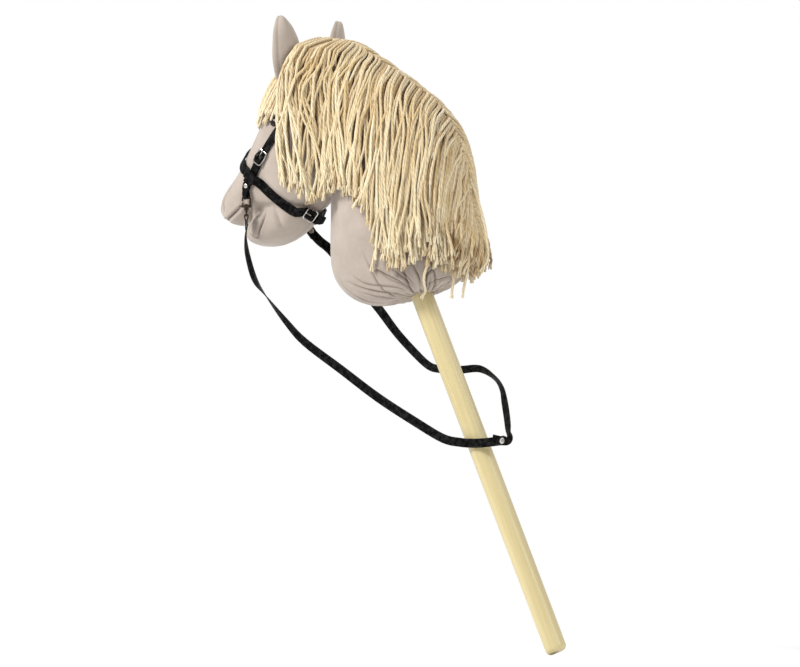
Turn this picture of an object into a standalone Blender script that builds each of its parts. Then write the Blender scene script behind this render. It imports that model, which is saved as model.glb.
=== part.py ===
"""Hobby horse: a stuffed cloth horse's head on a round wooden stick, with a yarn mane,
a halter of flat strap and a pair of reins that snap onto it.

Units are metres. +Z is up, -X is the way the horse looks and -Y is its left side. The
origin is the middle of the stick's lower end, and the stick leans as the toy is held.
"""

import math

import bmesh
import bpy
import numpy as np
from mathutils import Matrix, Vector
from mathutils.bvhtree import BVHTree

MM = 0.001
GAP = 0.3 * MM

# Stick
STICK_RADIUS = 12.5 * MM
STICK_LENGTH = 655 * MM
STICK_BARE = 445 * MM
STICK_LEAN = math.radians(23.6)
STICK_END_ROUND = 5 * MM
STICK_SIDES = 28

# Cloth forms
FORM_SIDES = 14
SIDE_FULLNESS = 0.9
GATHER_TIE_HEIGHT = 24 * MM
GATHER_TIE_WIRE = 1.5 * MM
GATHER_FOLDS = 7
EAR_BASES = {-1: Vector((-333, -37, 650)) * MM, 1: Vector((-327, 37, 645)) * MM}
EAR_TIPS = {-1: Vector((-328, -60, 722)) * MM, 1: Vector((-321, 60, 717)) * MM}
EAR_TURN_IN = math.radians(12)
EYE_PLACE = (-347 * MM, 602 * MM)
EYE_RADIUS = 6 * MM
EYE_HEIGHT = 3.7 * MM
EYE_SHANK_RADIUS = 1.5 * MM
EYE_SHANK_LENGTH = 11 * MM
EYE_WASHER_DEPTH = 7 * MM

# Yarn
MANE_CLEARANCE = 2.2 * MM
MANE_THICKNESS = 11.5 * MM
FORELOCK_THICKNESS = 9 * MM
TAPE_WIDTH = 11 * MM
TAPE_THICKNESS = 0.9 * MM

# Straps
STRAP_THICKNESS = 1.3 * MM
LIFT_OVER = 0.3 * MM
CHEEK_WIDTH = 9.5 * MM
NOSEBAND_WIDTH = 11 * MM
REIN_WIDTH = 10.5 * MM
LOOP_WIDTH = 5.3 * MM
LOOP_RADIUS = 3.3 * MM
LOOP_HEIGHT = 5.6 * MM
RIVET_AT = 10.6 * MM
KEEPER_BELOW_CROSSING = 7.4 * MM
CHEEK_BUCKLE_AT = 48.5 * MM
KEEPER_WALL = 0.8 * MM
KEEPER_LENGTH = 4.4 * MM

# Buckles
BUCKLE_WIRE = 0.8 * MM
BUCKLE_HALF_LENGTH = 8.3 * MM
BUCKLE_BAR_HEIGHT = 2.7 * MM
BUCKLE_REAR_RISE = 2.0 * MM
BUCKLE_SIDE_ROOM = 0.6 * MM
NOSEBAND_BUCKLE_RISE = 1.2 * MM
FOLD_RADIUS = 1.75 * MM
PRONG_WIRE = 0.6 * MM
SLOT_WIDTH = 2.2 * MM

# Rivets
RIVET_CAP_RADIUS = 4.0 * MM
CHEEK_RIVET_CAP_RADIUS = 2.9 * MM
JOIN_RIVET_CAP_RADIUS = 3.6 * MM
RIVET_SHANK_RADIUS = 1.1 * MM
RIVET_WASHER = 0.5 * MM

# Snap hooks
HOOK_WIRE = 1.1 * MM
HOOK_HALF_WIDTH = 5.1 * MM
HOOK_SQUARENESS = 0.65
HOOK_BASE_TOP = -10.2 * MM
HOOK_BASE_BOTTOM = -13.4 * MM
HOOK_BARREL_BOTTOM = -16.6 * MM
HOOK_BARREL_RADIUS = 2.7 * MM
HOOK_SHANK_RADIUS = 1.1 * MM
HOOK_EYE_BAR = -23.0 * MM
HOOK_EYE_WIRE = 1.0 * MM
HOOK_LEVER_PIVOT = (4.6 * MM, -11.9 * MM)
REIN_FOLD_RADIUS = 2.0 * MM
REIN_RIVET_BELOW = 8.0 * MM
REIN_TAIL_STEPS = (-8 * MM, -2.5 * MM, 3.5 * MM)

CLOTH = ("cloth", (0.60, 0.54, 0.49), 0.95, 0.0)
WOOD = ("varnished_wood", (0.78, 0.70, 0.42), 0.35, 0.0)
YARN = ("cotton_yarn", (0.80, 0.67, 0.42), 0.9, 0.0)
STRAP = ("black_strap", (0.02, 0.02, 0.022), 0.45, 0.0)
STEEL = ("bright_steel", (0.75, 0.75, 0.76), 0.22, 1.0)
BLACK_GLOSS = ("black_eye", (0.01, 0.01, 0.01), 0.12, 0.0)
TAPE = ("crest_tape", (0.74, 0.66, 0.50), 0.9, 0.0)


# Scene and materials


def clear_scene():
    """Empties the scene and gives the two collections that the model uses."""
    for obj in list(bpy.data.objects):
        bpy.data.objects.remove(obj, do_unlink=True)
    found = []
    for name in ("hobby_horse", "cutters"):
        collection = bpy.data.collections.new(name)
        bpy.context.scene.collection.children.link(collection)
        found.append(collection)
    return found


PARTS, CUTTERS = clear_scene()


def material(finish):
    name, colour, roughness, metallic = finish
    found = bpy.data.materials.get(name)
    if found:
        return found
    found = bpy.data.materials.new(name)
    found.use_nodes = True
    shader = found.node_tree.nodes["Principled BSDF"]
    shader.inputs["Base Color"].default_value = (*colour, 1.0)
    shader.inputs["Roughness"].default_value = roughness
    shader.inputs["Metallic"].default_value = metallic
    return found


def add_object(name, mesh, finish=None):
    """A mesh as a part, or as a cutter where it has no finish."""
    obj = bpy.data.objects.new(name, mesh)
    if finish is None:
        obj.hide_render = True
        obj.display_type = "WIRE"
        CUTTERS.objects.link(obj)
        return obj
    mesh.materials.append(material(finish))
    mesh.shade_smooth()
    mesh.set_sharp_from_angle(angle=math.radians(40))
    PARTS.objects.link(obj)
    return obj


def mesh_of(name, points, faces):
    mesh = bpy.data.meshes.new(name)
    mesh.from_pydata([tuple(p) for p in points], [], faces)
    edit = bmesh.new()
    edit.from_mesh(mesh)
    bmesh.ops.recalc_face_normals(edit, faces=edit.faces)
    edit.to_mesh(mesh)
    edit.free()
    return mesh


def evaluated_mesh(obj):
    bpy.context.view_layer.update()
    graph = bpy.context.evaluated_depsgraph_get()
    return bpy.data.meshes.new_from_object(obj.evaluated_get(graph))


def boolean(obj, other, operation="DIFFERENCE"):
    modifier = obj.modifiers.new(f"{operation.lower()} {other.name}", "BOOLEAN")
    modifier.operation = operation
    modifier.object = other


def subdivide(obj, levels=1):
    modifier = obj.modifiers.new("smooth form", "SUBSURF")
    modifier.levels = levels
    modifier.render_levels = levels


# Curves and small shapes


def smooth(points, per_span):
    """Points along the smooth curve that passes through the given points."""
    points = np.array(points, float)
    ends = np.vstack([2 * points[0] - points[1], points, 2 * points[-1] - points[-2]])
    found = []
    for a, b, c, d in zip(ends, ends[1:], ends[2:], ends[3:]):
        for t in np.linspace(0, 1, per_span, endpoint=False):
            found.append(
                b
                + 0.5 * t * (c - a)
                + t * t * (a - 2.5 * b + 2 * c - 0.5 * d)
                + t**3 * (1.5 * (b - c) + 0.5 * (d - a))
            )
    return np.array(found + [points[-1]])


def tube_mesh(name, points, radius, closed=False, resolution=1):
    """A round wire along the points, with closed ends."""
    curve = bpy.data.curves.new(name, "CURVE")
    curve.dimensions = "3D"
    curve.bevel_depth = radius
    curve.bevel_resolution = resolution
    curve.use_fill_caps = not closed
    spline = curve.splines.new("POLY")
    spline.points.add(len(points) - 1)
    for knot, place in zip(spline.points, points):
        knot.co = (*place, 1.0)
    spline.use_cyclic_u = closed
    guide = bpy.data.objects.new(name + "_guide", curve)
    CUTTERS.objects.link(guide)
    mesh = evaluated_mesh(guide)
    bpy.data.objects.remove(guide)
    edit = bmesh.new()
    edit.from_mesh(mesh)
    bmesh.ops.remove_doubles(edit, verts=edit.verts, dist=1e-6)
    edit.to_mesh(mesh)
    edit.free()
    return mesh


def turned(name, profile, finish=None, steps=16):
    """A turned shape about Z, from a profile that runs down its outer side."""
    points = [(radius, 0.0, height) for radius, height in profile]
    mesh = bpy.data.meshes.new(name)
    mesh.from_pydata(points, [(i, i + 1) for i in range(len(points) - 1)], [])
    obj = add_object(name, mesh, finish)
    screw = obj.modifiers.new("turn", "SCREW")
    screw.steps = steps
    screw.render_steps = steps
    screw.use_merge_vertices = True
    screw.merge_threshold = 1e-5
    screw.use_smooth_shade = True
    return obj


def box_mesh(name, low, high):
    mesh = bpy.data.meshes.new(name)
    edit = bmesh.new()
    size = Vector(high) - Vector(low)
    middle = (Vector(high) + Vector(low)) / 2
    stretch = Matrix.Translation(middle) @ Matrix.Diagonal((*size, 1))
    bmesh.ops.create_cube(edit, size=1.0, matrix=stretch)
    edit.to_mesh(mesh)
    edit.free()
    return mesh


def axes_matrix(place, x, y, z):
    """The matrix that puts a shape made about the origin at a place, along three axes."""
    turn = Matrix((x, y, z)).transposed()
    return Matrix.Translation(place) @ turn.to_4x4()


# Cloth forms


def section(front, back, half_width, grow=0.0):
    """A rounded section of a form, from its front and back points and its half width."""
    front, back = (Vector((p[0], 0, p[1])) * MM for p in (front, back))
    middle = (front + back) / 2
    reach = (back - front) / 2
    rim = 3 / (2 + math.cos(2 * math.pi / FORM_SIDES))
    reach *= rim * (1 + grow / reach.length)
    across = Vector((0, (half_width * MM + grow) * rim, 0))
    ring = []
    for i in range(FORM_SIDES):
        angle = 2 * math.pi * i / FORM_SIDES
        c = math.copysign(abs(math.cos(angle)) ** SIDE_FULLNESS, math.cos(angle))
        s = math.copysign(abs(math.sin(angle)) ** SIDE_FULLNESS, math.sin(angle))
        ring.append(middle - reach * c + across * s)
    return ring


def loft(name, rings, finish=None, levels=1):
    """A closed soft form over rings of as many points each."""
    sides = len(rings[0])
    points = [p for ring in rings for p in ring]
    faces = []
    for r in range(len(rings) - 1):
        for i in range(sides):
            j = (i + 1) % sides
            faces.append((r * sides + i, r * sides + j, (r + 1) * sides + j, (r + 1) * sides + i))
    faces.append(tuple(range(sides)))
    last = (len(rings) - 1) * sides
    faces.append(tuple(last + i for i in range(sides)))
    obj = add_object(name, mesh_of(name, points, faces), finish)
    if levels:
        subdivide(obj, levels)
    return obj


STICK_UP = Vector((-math.sin(STICK_LEAN), 0, math.cos(STICK_LEAN)))
STICK_FRONT = Vector((-math.cos(STICK_LEAN), 0, -math.sin(STICK_LEAN)))
NECK_MOUTH = STICK_UP * STICK_BARE


def by_stick(front, up):
    """A point of the neck's bottom, in millimetres in front of the stick and up it."""
    place = NECK_MOUTH + STICK_FRONT * front * MM + STICK_UP * up * MM
    return place.x / MM, place.z / MM


# The neck's sections, from its gathered bottom to the poll: front, back, half width.
NECK_SECTIONS = (
    (by_stick(14, 3), by_stick(-14, -6), 14),
    (by_stick(25, 0), by_stick(-24, -9), 24),
    (by_stick(45, 1), by_stick(-40, -7), 37),
    (by_stick(64, 9), by_stick(-57, -2), 47),
    (by_stick(81, 24), by_stick(-72, 5), 53),
    (by_stick(92, 44), by_stick(-85, 16), 55),
    (by_stick(94, 66), by_stick(-93, 35), 56),
    ((-291, 470), (-112, 478), 56),
    ((-289, 512), (-116, 522), 54),
    ((-296, 560), (-131, 576), 50),
    ((-310, 600), (-160, 611), 45),
    ((-322, 632), (-206, 643), 40),
    ((-332, 659), (-249, 668), 34),
    ((-327, 679), (-280, 684), 23),
)

# The head's sections, from the poll to the front of the muzzle.
HEAD_SECTIONS = (
    ((-322, 676), (-262, 598), 28),
    ((-345, 662), (-272, 566), 40),
    ((-365, 634), (-283, 534), 46),
    ((-379, 603), (-296, 511), 48),
    ((-394, 575), (-316, 495), 46),
    ((-405, 553), (-346, 494), 42),
    ((-416, 537), (-374, 502), 38),
    ((-429, 521), (-393, 489), 35),
    ((-435, 506), (-408, 483), 31),
    ((-434, 496), (-419, 483), 20),
)

# The lower jaw's sections, from the throat to the chin.
JAW_SECTIONS = (
    ((-322, 519), (-309, 501), 24),
    ((-338, 519), (-321, 488), 35),
    ((-354, 516), (-339, 470), 39),
    ((-369, 511), (-362, 458), 38),
    ((-382, 501), (-384, 458), 35),
    ((-393, 489), (-398, 464), 28),
    ((-398, 482), (-401, 470), 16),
)


def form_rings(sections, grow=0.0):
    """The rings of a form; where it is grown, its two ends move out as well."""
    rings = [section(front, back, width, grow) for front, back, width in sections]
    if not grow:
        return rings
    middles = [sum(ring, Vector()) / len(ring) for ring in rings]
    for end, beside in ((0, 1), (-1, -2)):
        way = (middles[end] - middles[beside]).normalized()
        rings[end] = [p + way * grow * 1.5 for p in rings[end]]
    return rings


def gathered(rings, folds):
    """The neck's lowest rings drawn into folds that run in to the stick."""
    depths = (0.0, 0.05, 0.035, 0.02)
    sides = len(rings[0])
    for ring, depth in zip(rings, depths):
        middle = sum(ring, Vector()) / sides
        for i in range(sides):
            fold = math.cos(2 * math.pi * folds * i / sides)
            ring[i] = middle + (ring[i] - middle) * (1 + depth * fold)
    return rings


def make_stick():
    flat = STICK_RADIUS - STICK_END_ROUND
    profile = [(0.0, STICK_LENGTH), (STICK_RADIUS - 2 * MM, STICK_LENGTH)]
    profile += [(STICK_RADIUS, STICK_LENGTH - 2 * MM), (STICK_RADIUS, STICK_BARE / 2)]
    for i in range(6):
        angle = math.radians(90) * i / 5
        profile.append(
            (flat + STICK_END_ROUND * math.cos(angle), STICK_END_ROUND * (1 - math.sin(angle)))
        )
    profile.append((0.0, 0.0))
    stick = turned("stick", profile, WOOD, STICK_SIDES)
    stick.rotation_euler = (0, -STICK_LEAN, 0)


def stick_bore():
    """What the stick and the hidden tie take out of the neck and head."""
    wall = STICK_RADIUS + GAP
    ring = STICK_RADIUS + GAP + GATHER_TIE_WIRE
    groove = GATHER_TIE_WIRE + GAP
    low = STICK_BARE + GATHER_TIE_HEIGHT
    profile = [(0.0, STICK_LENGTH + 1 * MM), (wall, STICK_LENGTH + 1 * MM)]
    for i in range(5):
        angle = math.radians(120 - 60 * i)
        profile.append((ring + groove * math.cos(angle), low + groove * math.sin(angle)))
    profile += [(wall, STICK_BARE - 60 * MM), (0.0, STICK_BARE - 60 * MM)]
    bore = turned("stick_bore", profile, None, STICK_SIDES)
    bore.rotation_euler = (0, -STICK_LEAN, 0)
    return bore


def make_gather_tie():
    ring = STICK_RADIUS + GAP + GATHER_TIE_WIRE
    points = []
    for i in range(STICK_SIDES):
        angle = 2 * math.pi * i / STICK_SIDES
        points.append((ring * math.cos(angle), ring * math.sin(angle), 0.0))
    mesh = tube_mesh("gather_tie", points, GATHER_TIE_WIRE * 0.9, closed=True)
    tie = add_object("gather_tie", mesh, YARN)
    tie.location = STICK_UP * (STICK_BARE + GATHER_TIE_HEIGHT)
    tie.rotation_euler = (0, -STICK_LEAN, 0)


# An ear's sections up its length: share of the length, half width, half thickness.
EAR_SECTIONS = (
    (0.0, 13, 8),
    (0.22, 19.5, 9),
    (0.48, 22, 8.3),
    (0.78, 15.5, 6),
    (0.97, 5.5, 3),
)
EAR_CUP = 4 * MM
EAR_LEAN_BACK = 5 * MM


def make_ear(name, side, finish=CLOTH, grow=0.0):
    """A stuffed leaf with a hollow front; side is -1 on the left and 1 on the right."""
    base, tip = EAR_BASES[side], EAR_TIPS[side]
    up = (tip - base).normalized()
    front = Vector((-math.cos(EAR_TURN_IN), -side * math.sin(EAR_TURN_IN), 0))
    across = up.cross(front).normalized()
    front = across.cross(up).normalized()
    rings = []
    for share, half_width, half_thick in EAR_SECTIONS:
        middle = base.lerp(tip, share)
        middle = middle - front * EAR_LEAN_BACK * math.sin(math.pi * share)
        ring = []
        for i in range(FORM_SIDES):
            angle = 2 * math.pi * i / FORM_SIDES
            a = math.cos(angle)
            b = math.sin(angle)
            hollow = EAR_CUP * (a * a - 0.5)
            ring.append(
                middle
                + across * (half_width * MM + grow) * a
                + front * ((half_thick * MM + grow) * b + hollow)
            )
        rings.append(ring)
    rings.append([rings[-1][i].lerp(tip + up * grow, 0.7) for i in range(FORM_SIDES)])
    return loft(name, rings, finish)


class Skin:
    """The outside of some cloth forms, found by rays."""

    def __init__(self, forms):
        self.trees = []
        for form in forms:
            mesh = evaluated_mesh(form)
            places = [form.matrix_world @ v.co for v in mesh.vertices]
            faces = [tuple(p.vertices) for p in mesh.polygons]
            self.trees.append(BVHTree.FromPolygons(places, faces))

    def hit(self, start, way):
        """The first point that a ray meets and the way out there, or None."""
        found = None
        for tree in self.trees:
            place, out, _, far = tree.ray_cast(start, way)
            if place is not None and (found is None or far < found[2]):
                found = (place, out, far)
        return found


class Line:
    """A line laid over the forms: its points, and the way out at each of them."""

    def __init__(self, points, outs, loop=False):
        self.points = np.array(points, float)
        self.outs = np.array(outs, float)
        self.loop = loop
        if loop:
            self.points = np.vstack([self.points, self.points[:1]])
            self.outs = np.vstack([self.outs, self.outs[:1]])
        steps = np.linalg.norm(np.diff(self.points, axis=0), axis=1)
        self.along = np.concatenate([[0.0], np.cumsum(steps)])
        self.length = float(self.along[-1])

    def point(self, s):
        if self.loop:
            s = s % self.length
        inside = min(max(s, 0.0), self.length)
        place = Vector([np.interp(inside, self.along, self.points[:, k]) for k in range(3)])
        if s != inside:
            end = (0, 1) if s < 0 else (-2, -1)
            way = Vector(self.points[end[1]] - self.points[end[0]]).normalized()
            place += way * (s - inside)
        return place

    def at(self, s):
        """(place, along, across, out) at a distance along the line."""
        step = 1.5 * MM
        along = (self.point(s + step) - self.point(s - step)).normalized()
        t = s % self.length if self.loop else min(max(s, 0.0), self.length)
        out = Vector([np.interp(t, self.along, self.outs[:, k]) for k in range(3)])
        out = (out - along * out.dot(along)).normalized()
        return self.point(s), along, out.cross(along), out

    def nearest(self, place, low=0.0, high=None):
        """The distance along the line of its point nearest to a place."""
        high = self.length if high is None else high
        steps = np.linspace(low, high, 400)
        return float(min(steps, key=lambda s: (self.point(s) - place).length))

    def straightened(self, middle, flat, reach, height):
        """The line again, straight and raised about one place, as a stiff piece holds it."""
        place, along, _, out = self.at(middle)
        count = len(self.points) - (1 if self.loop else 0)
        points, outs = [], []
        for i in range(count):
            away = float(self.along[i]) - middle
            if self.loop:
                away = (away + self.length / 2) % self.length - self.length / 2
            share = 1 - eased((abs(away) - flat) / (reach - flat))
            points.append(Vector(self.points[i]).lerp(place + along * away + out * height, share))
            outs.append(Vector(self.outs[i]).lerp(out, share).normalized())
        return Line(points, outs, self.loop)

    def raised(self, skin, width):
        """The line again, lifted so that a strap of that width clears the forms."""
        above = 25 * MM
        places, outs, lifts = [], [], []
        count = len(self.points) - (1 if self.loop else 0)
        for i in range(count):
            place, _, across, out = self.at(self.along[i])
            lift = -3 * MM
            for share in np.linspace(-0.56, 0.56, 9):
                start = place + across * float(share) * width + out * above
                found = skin.hit(start, -out)
                if found:
                    lift = max(lift, above - found[2] + LIFT_OVER)
            places.append(place)
            outs.append(out)
            lifts.append(lift)
        lifts = np.array(lifts)
        if self.loop:
            wide = np.concatenate([lifts[-2:], lifts, lifts[:2]])
        else:
            wide = np.concatenate([lifts[:1], lifts[:1], lifts, lifts[-1:], lifts[-1:]])
        tops = np.max([wide[i : i + count] for i in range(1, 4)], axis=0)
        lifted = [p + o * float(h) for p, o, h in zip(places, outs, tops)]
        return Line(lifted, outs, self.loop)


def eased(t):
    """A share from 0 to 1 that starts and ends gently."""
    t = min(max(t, 0.0), 1.0)
    return t * t * (3 - 2 * t)


def evened(values, times, loop):
    """A row of vectors with each one drawn towards its neighbours."""
    values = np.array(values, float)
    for _ in range(times):
        if loop:
            before, after = np.roll(values, 1, axis=0), np.roll(values, -1, axis=0)
        else:
            before = np.vstack([values[:1], values[:-1]])
            after = np.vstack([values[1:], values[-1:]])
        values = (before + 2 * values + after) / 4
    return values


# Straps


def level(layer):
    """The height of the middle of a layer of strap over the cloth."""
    return GAP + STRAP_THICKNESS / 2 + layer * (STRAP_THICKNESS + GAP)


def ribbon(name, middles, acrosses, widths, thickness, finish=STRAP):
    """A flat strap along its middle points, as a thin sheet given its thickness."""
    points, faces = [], []
    for middle, across, width in zip(middles, acrosses, widths):
        points += [middle - across * width / 2, middle + across * width / 2]
    for i in range(len(middles) - 1):
        faces.append((2 * i, 2 * i + 1, 2 * i + 3, 2 * i + 2))
    obj = add_object(name, mesh_of(name, points, faces), finish)
    wall = obj.modifiers.new("thickness", "SOLIDIFY")
    wall.thickness = thickness
    wall.offset = 0.0
    wall.use_even_offset = True
    return obj


def laid_strap(
    name, line, course, width, per_span=2, thickness=STRAP_THICKNESS, finish=STRAP
):
    """A strap along a line; its course lists distance, height and, if it narrows, width."""
    full = [(c[0], c[1], c[2] if len(c) > 2 else width) for c in course]
    middles, acrosses, widths = [], [], []
    for s, height, wide in smooth(full, per_span):
        place, _, across, out = line.at(s)
        middles.append(place + out * height)
        acrosses.append(across)
        widths.append(wide)
    return ribbon(name, middles, acrosses, widths, thickness, finish)


def end_loop_course(rise):
    """The doubled end of a strap, round the wire of a snap hook; rise lifts both layers."""
    inner, outer = level(0) + rise, level(1) + rise
    top = LOOP_HEIGHT + LOOP_RADIUS
    bottom = LOOP_HEIGHT - LOOP_RADIUS
    slim = (CHEEK_WIDTH + LOOP_WIDTH) / 2
    back = [(RIVET_AT + 1.5 * MM, inner), (RIVET_AT - 2 * MM, inner)]
    back.append((6 * MM, inner + 0.1 * MM, slim))
    curl = [(2.8 * MM, bottom + 0.15 * MM, LOOP_WIDTH)]
    for degrees in (-75, -40, 0, 40, 75):
        angle = math.radians(degrees)
        curl.append(
            (
                -LOOP_RADIUS * math.cos(angle),
                LOOP_HEIGHT + LOOP_RADIUS * math.sin(angle),
                LOOP_WIDTH,
            )
        )
    curl.append((2.8 * MM, top - 0.3 * MM, LOOP_WIDTH))
    front = [(5.2 * MM, outer + 1.9 * MM, slim), (RIVET_AT - 3.5 * MM, outer)]
    front += [(RIVET_AT - 1 * MM, outer), (RIVET_AT + 2.4 * MM, outer)]
    return back + curl + front


def billet_course(bar, tail):
    """A strap that comes to a buckle from further along, and its tail beyond it."""
    return [
        (bar + 14 * MM, level(0)),
        (bar + BUCKLE_HALF_LENGTH + 1 * MM, level(0)),
        (bar + BUCKLE_HALF_LENGTH - 1 * MM, level(0) + 0.1 * MM),
        (bar + 5 * MM, 2.4 * MM),
        (bar + 2.7 * MM, 4.9 * MM),
        (bar, 6.15 * MM),
        (bar - 2.6 * MM, 5.75 * MM),
        (bar - 5.4 * MM, 4.4 * MM),
        (bar - 7.6 * MM, level(1) + 0.25 * MM),
    ] + tail


def fold_course(bar, start):
    """A strap that comes to a buckle from nearer and folds round its middle bar."""
    high = BUCKLE_BAR_HEIGHT
    turn = []
    for degrees in (-80, -45, 0, 45, 80):
        angle = math.radians(degrees)
        turn.append((bar + FOLD_RADIUS * math.cos(angle), high + FOLD_RADIUS * math.sin(angle)))
    back = [(bar - 2.5 * MM, high + 1.1 * MM), (bar - 4.6 * MM, level(1) + 0.3 * MM)]
    return start + [(bar - 6 * MM, level(0)), (bar - 2 * MM, level(0))] + turn + back


def buckle_matrix(line, bar):
    place, along, across, out = line.at(bar)
    return axes_matrix(place + out * BUCKLE_BAR_HEIGHT, along, across, out)


def rounded_frame(half_width):
    """A buckle's wire, seen from above, with its rear end raised over two layers."""
    corner = 2.2 * MM
    points = []
    for quarter in range(4):
        sign_x = (1, -1, -1, 1)[quarter]
        sign_y = (1, 1, -1, -1)[quarter]
        for i in range(3):
            angle = math.radians(90 * quarter + 45 * i)
            x = sign_x * (BUCKLE_HALF_LENGTH - corner) + corner * math.cos(angle)
            y = sign_y * (half_width - corner) + corner * math.sin(angle)
            rise = BUCKLE_REAR_RISE * max(0.0, -x / BUCKLE_HALF_LENGTH) ** 1.5
            points.append((x, y, rise))
        if quarter % 2 == 0:
            points.append((0.0, sign_y * half_width, 0.0))
    return points


def make_buckle(prefix, line, bar, strap_width):
    """The frame with its middle bar, the prong, and the slot that the prong needs."""
    place = buckle_matrix(line, bar)
    half_width = strap_width / 2 + BUCKLE_SIDE_ROOM + BUCKLE_WIRE
    outline = rounded_frame(half_width)
    wire = tube_mesh(prefix + "_frame", outline, BUCKLE_WIRE, closed=True, resolution=2)
    frame = add_object(prefix + "_frame", wire, STEEL)
    ends = [(0, -half_width, 0), (0, 0, 0), (0, half_width, 0)]
    bar_wire = tube_mesh(prefix + "_bar", ends, BUCKLE_WIRE * 0.97, resolution=2)
    middle_bar = add_object(prefix + "_bar", bar_wire)
    frame.matrix_world = place
    middle_bar.matrix_world = place
    boolean(frame, middle_bar, "UNION")

    ring = BUCKLE_WIRE + 0.25 * MM + PRONG_WIRE
    path = []
    for degrees in range(-150, 91, 30):
        angle = math.radians(180 - degrees)
        path.append((ring * math.cos(angle), 0.0, ring * math.sin(angle)))
    rest = BUCKLE_WIRE + PRONG_WIRE + GAP
    path += [
        (3.2 * MM, 0.0, rest + 0.25 * MM),
        (6 * MM, 0.0, rest + 0.1 * MM),
        (BUCKLE_HALF_LENGTH + 1.2 * MM, 0.0, rest),
    ]
    prong = add_object(prefix + "_prong", tube_mesh(prefix + "_prong", path, PRONG_WIRE), STEEL)
    prong.matrix_world = place

    half = SLOT_WIDTH / 2
    top = 5.2 * MM
    slots = []
    for kind, low, high in (
        ("_fold_slot", (-3.4 * MM, -half, -2.6 * MM), (4 * MM, half, top)),
        ("_billet_slot", (-3 * MM, -half, 0.5 * MM), (7.2 * MM, half, top)),
    ):
        slot = add_object(prefix + kind, box_mesh(prefix + kind, low, high))
        slot.matrix_world = place
        slots.append(slot)
    return slots


def make_keeper(name, line, s, strap_width, layers, thickness=STRAP_THICKNESS):
    """A flat loop of strap round some layers of strap, a step above the cloth."""
    place, along, across, out = line.at(s)
    low = GAP + KEEPER_WALL / 2
    high = GAP + KEEPER_WALL + GAP + layers * (thickness + GAP) + KEEPER_WALL / 2
    half = strap_width / 2 + 0.4 * MM + KEEPER_WALL / 2
    corner = 0.9 * MM
    corners = [
        (-half + corner, low),
        (half - corner, low),
        (half, low + corner),
        (half, high - corner),
        (half - corner, high),
        (-half + corner, high),
        (-half, high - corner),
        (-half, low + corner),
    ]
    points, faces = [], []
    for end in (-0.5, 0.5):
        for across_by, up_by in corners:
            points.append(place + along * end * KEEPER_LENGTH + across * across_by + out * up_by)
    count = len(corners)
    for i in range(count):
        j = (i + 1) % count
        faces.append((i, j, count + j, count + i))
    obj = add_object(name, mesh_of(name, points, faces), STRAP)
    wall = obj.modifiers.new("thickness", "SOLIDIFY")
    wall.thickness = KEEPER_WALL
    wall.offset = 0.0
    return obj


def rivet_profile(cap_radius, grip):
    """A domed cap, a shank through the straps and a flat washer behind."""
    back = cap_radius * 0.8
    return [
        (0.0, 1.5 * MM),
        (cap_radius * 0.55, 1.3 * MM),
        (cap_radius * 0.9, 0.75 * MM),
        (cap_radius, 0.3 * MM),
        (cap_radius, 0.0),
        (RIVET_SHANK_RADIUS, 0.0),
        (RIVET_SHANK_RADIUS, -grip),
        (back, -grip),
        (back, -grip - RIVET_WASHER),
        (0.0, -grip - RIVET_WASHER),
    ]


def make_rivet(name, place, out, along, cap_radius, grip):
    """A rivet whose cap sits at a place. It gives back the cutter for its hole."""
    across = out.cross(along).normalized()
    matrix = axes_matrix(place, across.cross(out).normalized(), across, out)
    rivet = turned(name, rivet_profile(cap_radius, grip), STEEL, 12)
    rivet.matrix_world = matrix
    hole_radius = RIVET_SHANK_RADIUS + GAP
    reach = 1.0 * MM
    profile = [(0.0, reach), (hole_radius, reach), (hole_radius, -grip - reach), (0.0, -grip - reach)]
    hole = turned(name + "_hole", profile, None, 12)
    hole.matrix_world = matrix
    return hole


# Snap hooks


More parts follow.
